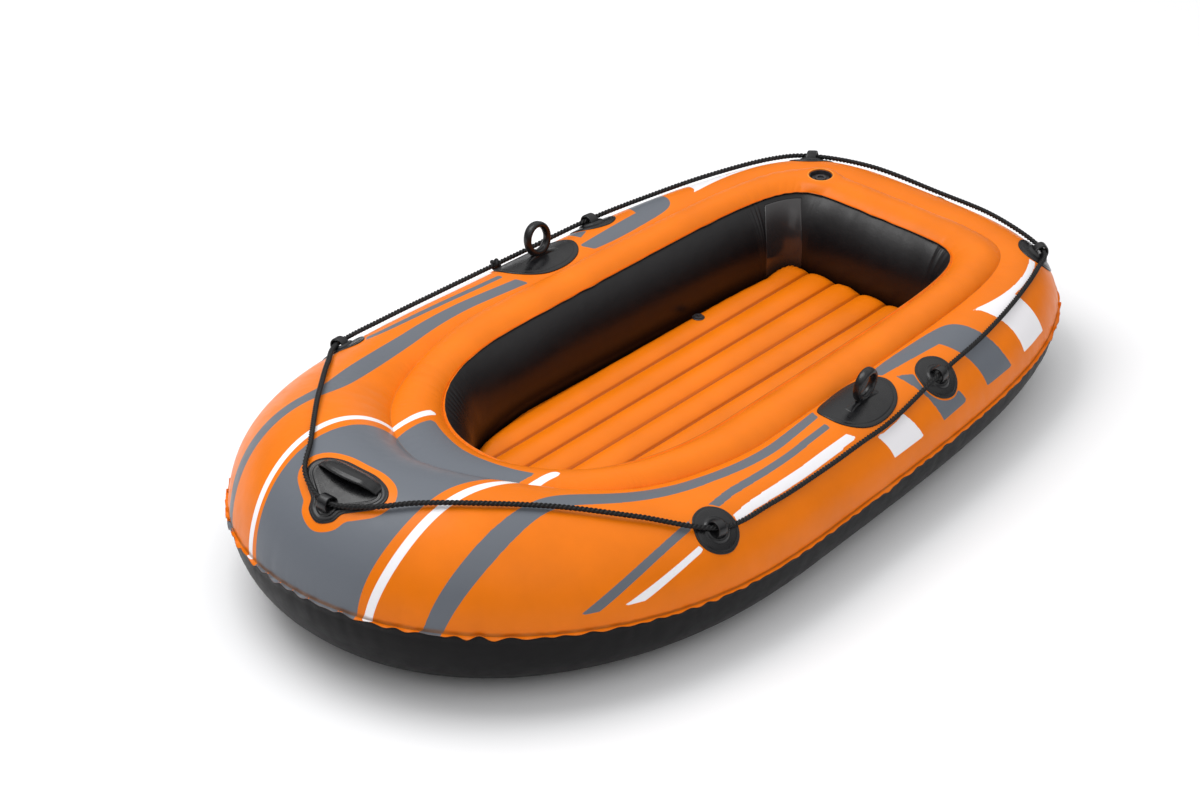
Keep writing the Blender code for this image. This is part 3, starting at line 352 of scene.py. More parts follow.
# %% [markdown]
# Materials are trees of nodes. A small helper makes one tree at a time: it adds nodes, sets their
# sockets by name, and links them. Each finish below uses it.

# %% A helper for node materials


class Finish:
    """One material's node tree, with short calls for the nodes that this boat needs."""

    def __init__(self, name, colour, roughness, place=None, **sockets):
        """place names a vector kept on the mesh; without it the object's own coordinates are used."""
        self.material = bpy.data.materials.new(name)
        self.material.use_nodes = True
        self.tree = self.material.node_tree
        self.shader = self.tree.nodes["Principled BSDF"]
        self.where = (self.add("Attribute", {"attribute_name": place}).outputs["Vector"] if place
                      else self.add("TexCoord").outputs["Object"])
        self.set(self.shader, Base_Color=(*colour, 1), Roughness=roughness, **sockets)

    def put(self, socket, value):
        """Links a socket to another one, or gives it a value. A colour gets its fourth number."""
        if isinstance(value, bpy.types.NodeSocket):
            self.tree.links.new(value, socket)
        else:
            socket.default_value = (*value, 1) if socket.type == "RGBA" and len(value) == 3 else value

    def set(self, node, **sockets):
        """Puts values on sockets by name, or by number after an n. An underscore stands for a space."""
        for key, value in sockets.items():
            numbered = key[0] == "n" and key[1:].isdigit()
            self.put(node.inputs[int(key[1:]) if numbered else key.replace("_", " ")], value)
        return node

    def add(self, kind, settings=None, **sockets):
        """A new node of a kind, with its settings and sockets."""
        node = self.tree.nodes.new("ShaderNode" + kind)
        for key, value in (settings or {}).items():
            setattr(node, key, value)
        return self.set(node, **sockets)

    def value(self, name):
        """A number kept on the mesh's points."""
        return self.add("Attribute", {"attribute_name": name}).outputs["Fac"]

    def math(self, operation, a, b=0.0, c=0.0):
        """One step of arithmetic on up to three numbers."""
        return self.add("Math", {"operation": operation}, n0=a, n1=b, n2=c).outputs[0]

    def noise(self, scale, detail=2.0, roughness=0.5, where=None):
        """Cloudy noise, 0 to 1, with scale clouds to the metre."""
        where = self.where if where is None else where
        return self.add("TexNoise", None, Vector=where, Scale=scale, Detail=detail,
                        Roughness=roughness).outputs["Fac"]

    def remap(self, value, low, high, to_low=0.0, to_high=1.0):
        """A value's stretch from low to high, moved to another stretch and cut at its ends."""
        return self.add("MapRange", None, Value=value, From_Min=low, From_Max=high, To_Min=to_low,
                        To_Max=to_high).outputs["Result"]

    def cloud(self, scale, detail=2.0, roughness=0.5, low=0.0, high=1.0):
        """Noise stretched so that it fills the range from low to high."""
        return self.remap(self.noise(scale, detail, roughness), 0.3, 0.7, low, high)

    def mix(self, share, a, b):
        """A colour between a and b."""
        return self.add("Mix", {"data_type": "RGBA"}, Factor=share, n6=a, n7=b).outputs[2]

    def bump(self, height, strength, distance, normal=None):
        """Relief from a height, on top of another relief if one is given."""
        node = self.add("Bump", None, Height=height, Strength=strength, Distance=distance)
        return (node if normal is None else self.set(node, Normal=normal)).outputs["Normal"]

    def look(self, **sockets):
        """Puts values on the shader's own sockets."""
        self.set(self.shader, **sockets)


print("helper ready")

# %% [markdown]
# The film is welded while it lies flat, and air then forces it into a tube. Along each weld there is more
# film than length, so it gathers into small folds, and the free flange outside the weld stands in waves.
# The folds are a wave along the weld whose pitch wanders, times a bell that grows from the weld and dies
# out on the tube. All waves are periodic over one trip round the boat, so they close without a step.

# %% Stations round the hull and the waves along its welds
half_round = np.concatenate([k + np.arange(n) / n for k, n in enumerate((190, 150, 125, 30))])
u_round = np.concatenate([half_round, [4.0], half_round[:0:-1]])
side_round = np.where(np.arange(len(u_round)) <= len(half_round), 1.0, -1.0)
hull = Section(*rays(u_round, side_round))
signed_u = u_round * side_round
columns = len(u_round)
weld_plan = hull.origin + hull.root[:, None] * hull.direction
weld_steps = np.linalg.norm(np.roll(weld_plan, -1, 0) - weld_plan, axis=1)
turn_round = 2 * math.pi * np.concatenate([[0], np.cumsum(weld_steps)[:-1]]) / weld_steps.sum()
weld_length = weld_steps.sum()
print(columns, "stations, outer weld", round(float(weld_length), 3), "m long")


def wander(seed, low, high, count=6):
    """A smooth number round the hull, about -1 to 1: a sum of sines with whole numbers of turns."""
    pick = np.random.default_rng(seed)
    made = np.zeros(columns)
    for turns, phase in zip(pick.integers(low, high, count), pick.uniform(0, 2 * math.pi, count)):
        made += np.sin(turns * turn_round + phase)
    return made / math.sqrt(count)


def folds(seed, pitch, wobble=2.2):
    """Height of gathered film, 0 to 1: |sin(n t / 2 + wobble)|, round ridges between sharp valleys, and
    ridges that differ in height."""
    count = round(weld_length / pitch)
    ridge = np.abs(np.sin(count * turn_round / 2 + wobble * wander(seed, 5, max(8, count // 6))))
    return ridge * np.clip(0.55 + 0.45 * wander(seed + 1, 7, max(9, count // 3)), 0.05, 1.3)


def bell(away, peak):
    """Grows from 0 at the weld to 1 at the peak distance and dies out: (a/p) exp(1 - a/p)."""
    share = np.maximum(away, 0) / peak
    return share * np.exp(1 - share)


def gathers(away, *sets):
    """Gathered film at a distance from a weld: the sum of height * folds * bell over sets of folds. Each
    set is a height, a seed, a pitch and the distance of the peak from the weld."""
    return sum(height * folds(seed, pitch) * bell(away, peak) for height, seed, pitch, peak in sets)


round_bow = ease(1.15 - u_round, 0, 0.7)
round_corner = ease(u_round, 1.85, 2.3) * (1 - ease(u_round, 3.0, 3.5))
gather = 0.35 + 0.65 * np.maximum(round_bow, round_corner)
left_bow = ease(-signed_u, -0.1, 0.25) * ease(1.1 + signed_u, 0, 0.5) * (side_round < 0)
near_stern = ease(signed_u, 2.0, 2.5) * (1 - ease(signed_u, 3.2, 3.9))
ruffle_size = 0.0011 + 0.0020 * np.maximum(left_bow, near_stern) + 0.0016 * round_bow
one_wave = 0.004 * np.exp(-((signed_u - 1.42) / 0.018) ** 2)
ruffle = ruffle_size * (0.62 * wander(3, 90, 150, 9) + 0.5 * wander(4, 40, 80, 7)) - one_wave
ruffle_width = 0.0006 * wander(5, 60, 190, 9) - 0.0006
print("flange waves up to", round(float(np.abs(ruffle).max()) * 1000, 2), "mm")

# %% [markdown]
# The stripes are printed on the flat film before it is welded. Each one is written down as an outline on
# the tube: how far round the boat (u), and how far up the cross-section (v). For every point of the skin
# the distance to the nearest outline is kept, positive inside. The material later cuts these distances at
# zero, which gives edges much sharper than the mesh. The bands that carry lettering stay plain.

# %% The stripes' outlines on the tubes
white_right = ((.140, -.03), (.145, .05), (.15, .084), (.158, .16), (.172, .235), (.183, .311), (.197, .395),
               (.210, .471), (.225, .538), (.242, .597), (.260, .664), (.283, .714), (.308, .765), (.34, .85),
               (.365, .93), (.383, 1.008), (.4, 1.118), (.425, 1.227), (.458, 1.328), (.475, 1.40))
white_left = ((-.142, -.03), (-.142, .109), (-.15, .168), (-.158, .244), (-.167, .319), (-.177, .395),
              (-.19, .471), (-.203, .538), (-.220, .622), (-.236, .697), (-.25, .765), (-.267, .849),
              (-.283, .916), (-.29, .983), (-.290, 1.05), (-.312, 1.202), (-.355, 1.395), (-.433, 1.681))
grey_field = ((.120, -.03), (.122, .05), (.125, .101), (.133, .176), (.142, .252), (.156, .328), (.167, .395),
              (.178, .471), (.190, .529), (.2, .597), (.212, .655), (.233, .706), (.258, .748), (.285, .84),
              (.31, .93), (.325, 1.008), (.35, 1.185), (.392, 1.336), (.3, 1.365), (.225, 1.43),
              (.133, 1.54), (.008, 1.63), (-.10, 1.66), (-.225, 1.66), (-.35, 1.655), (-.283, 1.378),
              (-.242, 1.151), (-.217, 1.025), (-.212, .99), (-.22, .933), (-.217, .849), (-.2, .765),
              (-.192, .689), (-.183, .63), (-.175, .555), (-.167, .487), (-.157, .403), (-.147, .328),
              (-.14, .252), (-.133, .176), (-.125, .109), (-.125, .042), (-.12, -.03))
long_band = ((.235, -.03), (.242, .034), (.25, .084), (.258, .16), (.275, .218), (.292, .303), (.317, .395),
             (.342, .479), (.37, .555), (.398, .613), (.425, .672), (.458, .723), (.5, .756), (.55, .78),
             (.65, .82), (.8, .85), (1.0, .88), (1.15, .91), (1.3, .935), (1.385, .96), (1.37, .86),
             (1.3, .83), (1.15, .80), (1.0, .76), (.85, .725), (.7, .70), (.6, .68), (.542, .66), (.51, .65),
             (.483, .63), (.458, .605), (.425, .538), (.4, .471), (.375, .395), (.35, .311), (.325, .244),
             (.308, .176), (.292, .101), (.275, .042), (.268, -.03))
side_grey = ((.517, .084), (.583, .21), (.683, .353), (.783, .471), (.85, .529), (.917, .588), (1.017, .67),
             (1.15, .755), (1.258, .77), (1.358, .765), (1.358, .705), (1.267, .70), (1.158, .685),
             (1.033, .62), (.942, .555), (.858, .479), (.808, .437), (.725, .353), (.633, .235), (.558, .092))
side_white = ((.608, .101), (.7, .218), (.808, .336), (.892, .412), (.967, .470), (1.042, .529),
              (1.133, .580), (1.25, .605), (1.375, .58), (1.392, .504), (1.308, .492), (1.217, .496),
              (1.125, .487), (1.033, .454), (.95, .403), (.883, .37), (.817, .303), (.733, .21), (.658, .109))
block_white = ((1.55, .454), (1.567, .361), (1.575, .277), (1.583, .193), (1.525, .193), (1.467, .193),
               (1.467, .252), (1.458, .345), (1.442, .429), (1.467, .412), (1.508, .42), (1.533, .429))
block_grey = ((1.625, .739), (1.667, .681), (1.708, .605), (1.733, .471), (1.758, .345), (1.767, .21),
              (1.717, .202), (1.667, .193), (1.658, .261), (1.65, .37), (1.65, .479), (1.633, .58),
              (1.617, .655))
stern_grey = ((1.9, .891), (1.917, .798), (1.925, .689), (1.942, .58), (1.95, .462), (1.958, .345),
              (1.967, .227), (1.975, .176), (1.917, .185), (1.858, .193), (1.858, .277), (1.85, .37),
              (1.842, .462), (1.833, .563), (1.825, .647), (1.808, .756), (1.775, .773), (1.725, .782),
              (1.692, .798), (1.65, .815), (1.59, .835), (1.60, .90), (1.61, .95), (1.633, .965),
              (1.683, .965), (1.742, .96), (1.8, .945), (1.858, .925), (1.883, .91))
stern_white = ((1.985, .83), (2.15, .775), (2.288, .723), (2.425, .685), (2.55, .665), (2.66, .655),
               (2.66, .575), (2.55, .600), (2.462, .613), (2.375, .63), (2.285, .655), (2.275, .538),
               (2.275, .42), (2.27, .303), (2.275, .17), (2.175, .18), (2.075, .185), (2.075, .277),
               (2.075, .403), (2.062, .529), (2.038, .647), (2.013, .748))


def mirrored(outline):
    """The same outline on the boat's other side."""
    return tuple((-u, v) for u, v in outline)


grey_prints = [grey_field] + [shape for one in (long_band, side_grey, block_grey, stern_grey)
                              for shape in (one, mirrored(one))]
white_prints = [shape for one in (side_white, block_white, stern_white) for shape in (one, mirrored(one))]
print(len(grey_prints), "grey shapes,", len(white_prints), "white shapes and two white lines")

# %% [markdown]
# Fittings are drawn flat, with s along the hull and w around the tube, and then laid on the tube. The
# same drawing measures the skin: it tells how far each point of the film is from a patch, so that the
# film lies flat under it and the print keeps clear of it.

# %% Laying a flat drawing on the tube


def outer_place(centre, side=1.0):
    """Turns drawing points (s, w, lift) into points on the outer tube round a plan point: s moves along
    the hull, w turns around the tube's centre, and lift stands off the film."""
    centre = np.array((centre[0] * side, centre[1]), float)
    origin, direction = ray_through(centre[None])
    start = Section(origin, direction)
    across = ((centre - origin) * direction).sum(1)
    angle = np.arccos((across - start.centre) / (start.radius + film))
    along = np.array((-direction[0, 1], direction[0, 0])) * side

    def lay(s, w, lift):
        """Points on the tube for drawing points."""
        s, w, lift = np.broadcast_arrays(*(np.asarray(value, float) for value in (s, w, lift)))
        flat_s, flat_w, flat_lift = s.ravel(), w.ravel(), lift.ravel()
        at = Section(*ray_through(centre + flat_s[:, None] * along))
        turned = angle + flat_w / start.radius
        radius = at.radius + film + flat_lift
        plan = at.origin + (at.centre + radius * np.cos(turned))[:, None] * at.direction
        z = at.seam_z + half_gap + radius * np.sin(turned)
        return np.column_stack([plan, z]).reshape(*s.shape, 3)

    return lay


patch_thickness = 0.0015
holder_shares = np.array(((-1.0, -0.05), (-0.82, 0.62), (-0.30, 0.97), (0.30, 1.0), (0.83, 0.64), (1.0, 0.0),
                          (0.78, -0.62), (0.28, -0.98), (-0.32, -0.90), (-0.80, -0.55)))
oarlock_shares = np.array(((-0.88, 0.80), (-0.26, 1.0), (0.37, 0.98), (0.82, 0.70), (1.0, 0.16),
                           (0.90, -0.36), (0.60, -0.78), (0.13, -0.96), (-0.40, -0.88), (-0.80, -0.50),
                           (-0.99, 0.06)))
bow_shares = np.array(((0.0, 0.58), (0.45, 0.53), (0.84, 0.30), (1.0, -0.02), (0.90, -0.34), (0.62, -0.56),
                       (0.38, -0.74), (0.27, -1.0), (0.0, -1.16), (-0.27, -1.0), (-0.38, -0.74),
                       (-0.62, -0.56), (-0.90, -0.34), (-1.0, -0.02), (-0.84, 0.30), (-0.45, 0.53)))
holder_places = {"forward": (0.386, -0.293), "aft": (0.362, 0.268), "corner": (0.240, 0.698)}
oarlock_place, bow_place = (0.335, 0.112), (0.0, -0.668)
patches = {"bow_handle": (outer_place(bow_place), smooth_line(bow_shares * (0.077, 0.062), 12, True), 0.0125)}
for side_name, side in (("right", 1), ("left", -1)):
    outline = smooth_line(oarlock_shares * (1, side) * (0.076, 0.0485), 16, True)
    patches["oarlock_" + side_name] = (outer_place(oarlock_place, side), outline, 0.0055)
    for place_name, place in holder_places.items():
        outline = smooth_line(holder_shares * (0.039, 0.039), 16, True)
        patches[f"rope_holder_{place_name}_{side_name}"] = (outer_place(place, side), outline, 0.0028)
print(len(patches), "patches")

# %% Distances to outlines
# The distance kept for points far outside an outline, how near in u and v and in metres others are, and
# the step on a patch that gives its two directions.
far_out, print_reach, patch_reach, small_step = -0.05, (0.06, 0.15), 0.13, 0.001
batch = 4000        # points at a time, so that the arrays stay small


def closed_line(line):
    """The line with its first point repeated at its end."""
    return np.concatenate([line, line[:1]])


def inside_outline(points, outline):
    """True where a point lies inside a closed outline: a line drawn sideways from it crosses the outline
    an odd number of times."""
    x, y = points[:, :1], points[:, 1:]
    a, b = outline, np.roll(outline, -1, 0)
    crosses = (a[:, 1] > y) != (b[:, 1] > y)
    rise = np.where(b[:, 1] == a[:, 1], 1, b[:, 1] - a[:, 1])
    meets = a[:, 0] + (y - a[:, 1]) * (b[:, 0] - a[:, 0]) / rise
    return (crosses & (x < meets)).sum(1) % 2 == 1


def nearest(points, line):
    """Distance from each point to the nearest of a line's short straight stretches."""
    a, run = line[:-1], np.diff(line, axis=0)
    size = np.maximum((run ** 2).sum(1), 1e-12)
    least = np.empty(len(points))
    for first in range(0, len(points), batch):
        away = points[first:first + batch, None] - a
        share = np.clip((away * run).sum(-1) / size, 0, 1)
        least[first:first + batch] = np.sqrt(((away - share[..., None] * run) ** 2).sum(-1)).min(1)
    return least


def ways(outline, sharp):
    """Steps to each point and from it, and whether the line turns sharply there."""
    before, after = outline - np.roll(outline, 1, 0), np.roll(outline, -1, 0) - outline
    lengths = np.linalg.norm(before, axis=1) * np.linalg.norm(after, axis=1)
    return before, after, ((before * after).sum(1) / np.maximum(lengths, 1e-9) < sharp)[:, None]


def dense(outline, closed=True, steps=6, sharp=0.82):
    """A cubic curve through the outline's points, p = h00 a + h10 ta + h01 b + h11 tb. The tangents at a
    point are half the way between its neighbours, and at a corner each stretch keeps its own direction."""
    outline = np.asarray(outline, float)
    ends = np.zeros((len(outline), 1), bool)
    ends[[0, -1]] = not closed
    for _ in range(3):
        before, after, corner = ways(outline, sharp)
        outline = np.where(corner | ends, outline, outline + 0.25 * (after - before))
    before, after, corner = ways(outline, sharp)
    if not closed:
        before[0], after[-1] = after[0], before[-1]
        corner[[0, -1]] = False
    middle_way = (before + after) / 2
    leave, arrive = np.where(corner, after, middle_way), np.roll(np.where(corner, before, middle_way), -1, 0)
    t = (np.arange(steps) / steps)[None, :, None]
    after = np.roll(outline, -1, 0)
    curve = ((2 * t ** 3 - 3 * t ** 2 + 1) * outline[:, None] + (t ** 3 - 2 * t ** 2 + t) * leave[:, None]
             + (3 * t ** 2 - 2 * t ** 3) * after[:, None] + (t ** 3 - t ** 2) * arrive[:, None])
    if closed:
        return closed_line(curve.reshape(-1, 2))
    return np.concatenate([curve[:-1].reshape(-1, 2), outline[-1:]])


def on_skin(outline):
    """Places (u, v) of an outline as points on the printed film."""
    u, v = np.asarray(outline, float).T
    return top_surface(Section(*rays(np.abs(u), np.where(u < 0, -1.0, 1.0))), v, 0.0)


def print_distance(places, points, outline):
    """Distance in metres from the skin's points to an outline, positive inside it."""
    edge = dense(outline)
    close = ((places > edge.min(0) - print_reach) & (places < edge.max(0) + print_reach)).all(1)
    made = np.full(len(points), far_out)
    away = nearest(points[close], on_skin(edge))
    made[close] = np.where(inside_outline(places[close], edge), away, -away)
    return made


def patch_distance(points, lay, outline):
    """Distance in metres from points near a patch to its outline, positive inside it."""
    edge = lay(outline[:, 0], outline[:, 1], 0.0)
    centre = lay(0, 0, 0.0)
    close = apart(points, centre) < patch_reach
    made = np.full(len(points), far_out)
    if close.any():
        away = nearest(points[close], closed_line(edge))
        # Inside is judged flat, in the plane that touches the tube at the patch's middle.
        axes = unit(np.stack([lay(small_step, 0, 0.0), lay(0, small_step, 0.0)]) - centre)
        flat, flat_edge = (points[close] - centre) @ axes.T, (edge - centre) @ axes.T
        made[close] = np.where(inside_outline(flat, flat_edge), away, -away)
    return made


print("distance helpers ready")

# %% [markdown]
# The printed skin runs from the outer weld's flange over both tubes to the flange at the cockpit's edge.
# Its outside carries the folds, and its inside is a plain copy half a millimetre in. Together they make
# one closed sheet.

# %% The printed skin
outer_v, crown_v = spread(56, 0.06), 1 + spread(20, 0.10)
line_end_u = 0.6    # the white lines lie within this much of the bow
# From where to where the folds grow away from a fitting, and where the film lies flat round the main valve.
main_valve_calm, stern_valve_calm, patch_calm = (0.030, 0.045), (0.017, 0.030), (0.001, 0.014)
main_valve_flat = (0.023, 0.046)
outer_length, crown_length = hull.radius * hull.turn, hull.crown_radius * np.abs(hull.crown_turn)


def skin_lift(v, quiet):
    """How far the film stands off its plain arc at v: folds from each weld and slow waves between."""
    from_weld = outer_length * v
    from_crease = np.where(v <= 1, outer_length * (1 - v), crown_length * (v - 1))
    from_cockpit = crown_length * (2 - v)
    lift = gather * gathers(from_weld, (0.0011, 11, 0.021, 0.006), (0.0012, 13, 0.047, 0.016))
    on_outer, half_gather = v <= 1, 0.4 + 0.6 * gather
    crease = (gathers(from_crease, (0.0006, 17, 0.026, 0.006)) * half_gather
              + gathers(from_crease, (0.0010, 19, 0.080, 0.018)) * (0.15 + 0.85 * round_bow))
    crease_in = gathers(from_crease, (0.0005, 23, 0.024, 0.006), (0.0007, 29, 0.070, 0.016))
    edge = (gathers(from_cockpit, (0.0004, 31, 0.019, 0.005))
            + gathers(from_cockpit, (0.0005, 37, 0.045, 0.012)) * half_gather)
    slow = 0.0007 * wander(41, 3, 12, 5) * np.sin(math.pi * np.clip(v, 0, 1)) ** 2 * on_outer
    return (lift + np.where(on_outer, crease, crease_in + edge) + slow) * quiet


def skin_rows():
    """The outside of both tubes, row by row, with the crease's own sharp corner between them."""
    rows = []
    for v in list(outer_v[1:-1]) + list(crown_v[1:-1]):
        plain = top_surface(hull, np.full(columns, v), 0.0)
        quiet = np.minimum(ease(apart(plain[:, :2], main_valve_place), *main_valve_calm),
                           ease(apart(plain, stern_valve_point), *stern_valve_calm))
        for lay, outline, _ in patches.values():
            quiet = np.minimum(quiet, ease(-patch_distance(plain, lay, outline), *patch_calm))
        made = top_surface(hull, np.full(columns, v), skin_lift(v, quiet))
        if v > 1:
            round_valve = ease(apart(made[:, :2], main_valve_place), *main_valve_flat)
            made[:, 2] = made[:, 2] * round_valve + valve_film_z * (1 - round_valve)
        rows.append(made)
    return np.array(rows)


main_valve_place, valve_film_z = np.array((-0.1555, 0.6175)), 0.2216
stern_section = Section(np.array([(0, corner_y)]), np.array([(0.0, 1.0)]))
stern_valve_angle = math.radians(34)
stern_out = np.array((0, math.cos(stern_valve_angle), math.sin(stern_valve_angle)))
stern_valve_point = (np.array((0, corner_y + stern_section.centre[0], stern_section.seam_z[0] + half_gap))
                     + (stern_section.radius[0] + film) * stern_out)
seam_floor = hull.seam_z + half_gap


def column_row(across, z):
    """One row of points round the hull, at a distance along each ray and a height."""
    return on_rays(hull, across, z)


def lip_row(share, off):
    """A row of the flange at the cockpit's edge, which stands at 45 degrees: share of the way from the
    weld to its rim, and a distance off its middle plane."""
    up, off_side = cockpit_flange * share * slant, off * slant + rim_wave * share
    return column_row(hull.cockpit - up + off_side, hull.cockpit_z + up + off_side)


flange_rows = [column_row(hull.edge + ruffle_width, seam_floor + ruffle)]
for share in (1.0, 0.8, 0.55, 0.3, 0.1, 0.0):
    reach_out = (hull.edge + ruffle_width - 0.0002 - hull.root - film) * share + hull.root + film
    flange_rows.append(column_row(reach_out, seam_floor + film + ruffle * share ** 1.5))
tubes = skin_rows()
crease_row = column_row(hull.crease, hull.crease_z + 1.2 * film)
slant = math.sqrt(0.5)
rim_wave = 0.00022 * wander(43, 40, 110, 9)
lip_rows = [lip_row(share, half_gap + off)
            for share, off in ((0.0, film), (0.35, film), (0.75, film), (1.0, film), (1.0, 0.0))]
inner_rows = [column_row(hull.cockpit + half_gap * slant, hull.cockpit_z + half_gap * slant)]
for v in (1.75, 1.5, 1.25, 1.0, 0.75, 0.5, 0.25):
    inner_rows.append(top_surface(hull, np.full(columns, v), -film - 0.0024 * abs(math.sin(math.pi * v))))
inner_rows.append(column_row(hull.root, seam_floor))
outer_count = len(outer_v) - 2
skin = np.concatenate([flange_rows, tubes[:outer_count], crease_row[None], tubes[outer_count:], lip_rows,
                       inner_rows])
v_rows = np.concatenate([np.full(len(flange_rows), -0.02), outer_v[1:-1], [1.0], crown_v[1:-1],
                         np.full(len(lip_rows), 2.02), np.full(len(inner_rows), -1.0)])
places = np.stack(np.broadcast_arrays(signed_u, v_rows[:, None]), -1).reshape(-1, 2)
points = skin.reshape(-1, 3)
printed = places[:, 1] > -0.5
grey, white = np.full(len(points), far_out), np.full(len(points), far_out)
for ink, outlines in ((grey, grey_prints), (white, white_prints)):
    for outline in outlines:
        ink[printed] = np.maximum(ink[printed], print_distance(places[printed], points[printed], outline))
for line, half_wide in ((white_left, 0.0062), (white_right, 0.0068)):
    close = printed & (np.sign(places[:, 0]) == np.sign(line[0][0])) & (np.abs(places[:, 0]) < line_end_u)
    line_points = on_skin(dense(line, False))
    white[close] = np.maximum(white[close], half_wide - nearest(points[close], line_points))
for lay, outline, margin in patches.values():
    clear = -patch_distance(points, lay, outline) - margin
    grey, white = np.minimum(grey, clear), np.minimum(white, clear)
print("grey points", int((grey > 0).sum()), "white points", int((white > 0).sum()))

# %% [markdown]
# Printed film has a soft gloss: a smooth plastic surface with a very fine grain and slow waves that break
# up the reflections. The material reads the three distances kept on the mesh and cuts them at zero. The
# welds show as thin darker lines, where the heat has pressed two films into one.

# %% The film's finishes
orange, grey_ink, white_ink = (0.770, 0.172, 0.0015), (0.125, 0.137, 0.158), (0.830, 0.815, 0.840)
weld_brown = (0.230, 0.085, 0.010)
ink_edge = 0.0004   # half the soft edge of the ink


def film_finish(name, colour, roughness, grain=0.25, coat=0.0, gloss=0.18):
    """Plain film: slow patches of colour, fine grain and slow waves in its gloss."""
    made = Finish(name, colour, roughness, Specular_IOR_Level=gloss, Coat_Weight=coat, Coat_Roughness=0.18)
    darker, lighter = [0.93 * c for c in colour], [min(1, 1.05 * c) for c in colour]
    made.shade = made.mix(made.cloud(9.0, 3.0, 0.6), darker, lighter)
    waves = made.bump(made.noise(55.0), 0.30, 0.0012)
    made.look(Base_Color=made.shade, Normal=made.bump(made.noise(900.0), grain, 0.00012, waves),
              Roughness=made.cloud(40.0, 3.0, 0.6, roughness - 0.04, roughness + 0.05))
    return made


top_film = film_finish("printed_film", orange, 0.36)
inked = top_film.shade
for print_name, ink in (("print_grey", grey_ink), ("print_white", white_ink)):
    inside = top_film.remap(top_film.value(print_name), -ink_edge, ink_edge)
    inked = top_film.mix(inside, inked, ink)
top_film.look(Base_Color=top_film.mix(top_film.value("weld"), inked, weld_brown))
print("printed film ready")

# %% Build the printed skin
weld_rows = np.zeros(skin.shape[:2])
tube_start = len(flange_rows)
weld_rows[tube_start - 2:tube_start + 1] = 0.55
weld_rows[0:2] = 0.25
crease_at = tube_start + outer_count
weld_rows[crease_at] = 0.35
lip_start = crease_at + 1 + len(crown_v) - 2
weld_rows[lip_start] = 0.45
weld_rows[lip_start + len(lip_rows) - 2:lip_start + len(lip_rows)] = 0.7
attributes = {"print_grey": grey, "print_white": white, "weld": weld_rows.ravel()}
skin_faces = quads(len(skin), columns, close_rows=True, close_columns=True)
top_skin = piece("printed_skin", skin, skin_faces, top_film, "hull_top_skin",
                 attributes=attributes)

# %% [markdown]
# The black skin closes both tubes from below. Its flange lies under the printed one and follows the same
# waves. From the outer weld it turns a quarter circle down to the ground, runs flat, and turns up again to
# the floor's weld.

# %% The black skin under the tubes


def quarter(count):
    """Angles of a quarter turn in equal steps."""
    return math.pi / 2 * np.arange(count + 1) / count


def under_lift(away_seam, away_floor):
    """Folds under the seam and round the floor's weld."""
    return (gather * gathers(away_seam, (0.0011, 51, 0.020, 0.007), (0.0016, 53, 0.052, 0.018))
            + gathers(away_floor, (0.0010, 57, 0.030, 0.010)))


def under_rows(outside):
    """The black sheet's rows from the flange's tip to the floor's weld; outside says which face."""
    off = film if outside else 0.0
    top = hull.seam_z - half_gap
    low = floor_weld_z - half_gap - film - gap
    rows = []
    for share in (1.0, 0.6, 0.2) if outside else (1.0, 0.0):
        across = (hull.edge + ruffle_width - hull.root - off) * share + hull.root + off
        rows.append(column_row(across, top - off + ruffle * share ** 1.5 * (share > 0)))
    bend = top - film
    angles = quarter(16 if outside else 5)
    for angle in angles[1:] if outside else angles:
        settled = ease(top - bend * math.sin(angle), 0.004, 0.03)
        lift = under_lift(bend * angle, 1.0) * settled if outside else 0
        radius = bend + off + lift
        rows.append(column_row(hull.root - bend + radius * math.cos(angle), top - radius * math.sin(angle)))
    flat_from, flat_to = hull.root - bend, hull.floor + low - film
    turn = low - film
    if outside:
        for share in (0.25, 0.5, 0.75):
            rows.append(column_row(flat_from + (flat_to - flat_from) * share, film - off))
    for angle in quarter(8 if outside else 3):
        lift = under_lift(1.0, turn * (math.pi / 2 - angle)) * math.sin(angle) if outside else 0
        radius = turn + off + lift
        rows.append(column_row(hull.floor + turn - radius * math.sin(angle), low - radius * math.cos(angle)))
    rows.append(column_row(hull.floor - floor_flange, low - off))
    return rows


black_film = film_finish("black_film", (0.004, 0.0035, 0.004), 0.45, 0.2, gloss=0.12)
under = np.array(under_rows(True) + under_rows(False)[::-1])
piece("black_under_skin", under, quads(len(under), columns, True, True)[:, ::-1], black_film,
      "hull_bottom_skin")

# %% [markdown]
# The wall sheet closes the inner tube towards the cockpit. It hangs from the weld at the cockpit's edge,
# swells into the cockpit, and is welded to the floor. It is dark and glossy, so its top edge catches a
# long soft highlight, and folds from both welds break that highlight up.

# %% The cockpit's wall
wall_foot_z = floor_weld_z + half_gap + film + gap


def wall_arcs(section):
    """The wall's arc on each ray, from the cockpit's edge to the floor's weld."""
    return arc_over(section.cockpit, section.cockpit_z, section.floor, wall_foot_z, wall_bulge)


def on_wall(section, arcs, share, lift):
    """Points on the wall's arcs: share 0 at the cockpit's edge, 1 at the floor. lift stands off the film on
    the cockpit's side, which is away from the arc's own centre."""
    centre, radius, first, whole_turn = arcs
    angle, radius = first + whole_turn * share, radius + lift
    return on_rays(section, centre[:, 0] + radius * np.cos(angle), centre[:, 1] + radius * np.sin(angle))


hull_arcs = wall_arcs(hull)
wall_length = hull_arcs[1] * np.abs(hull_arcs[3])
wall_pull = 0.35 + 0.65 * np.maximum(ease(u_round, 1.8, 2.3) * (1 - ease(u_round, 3.2, 3.8)), round_bow)


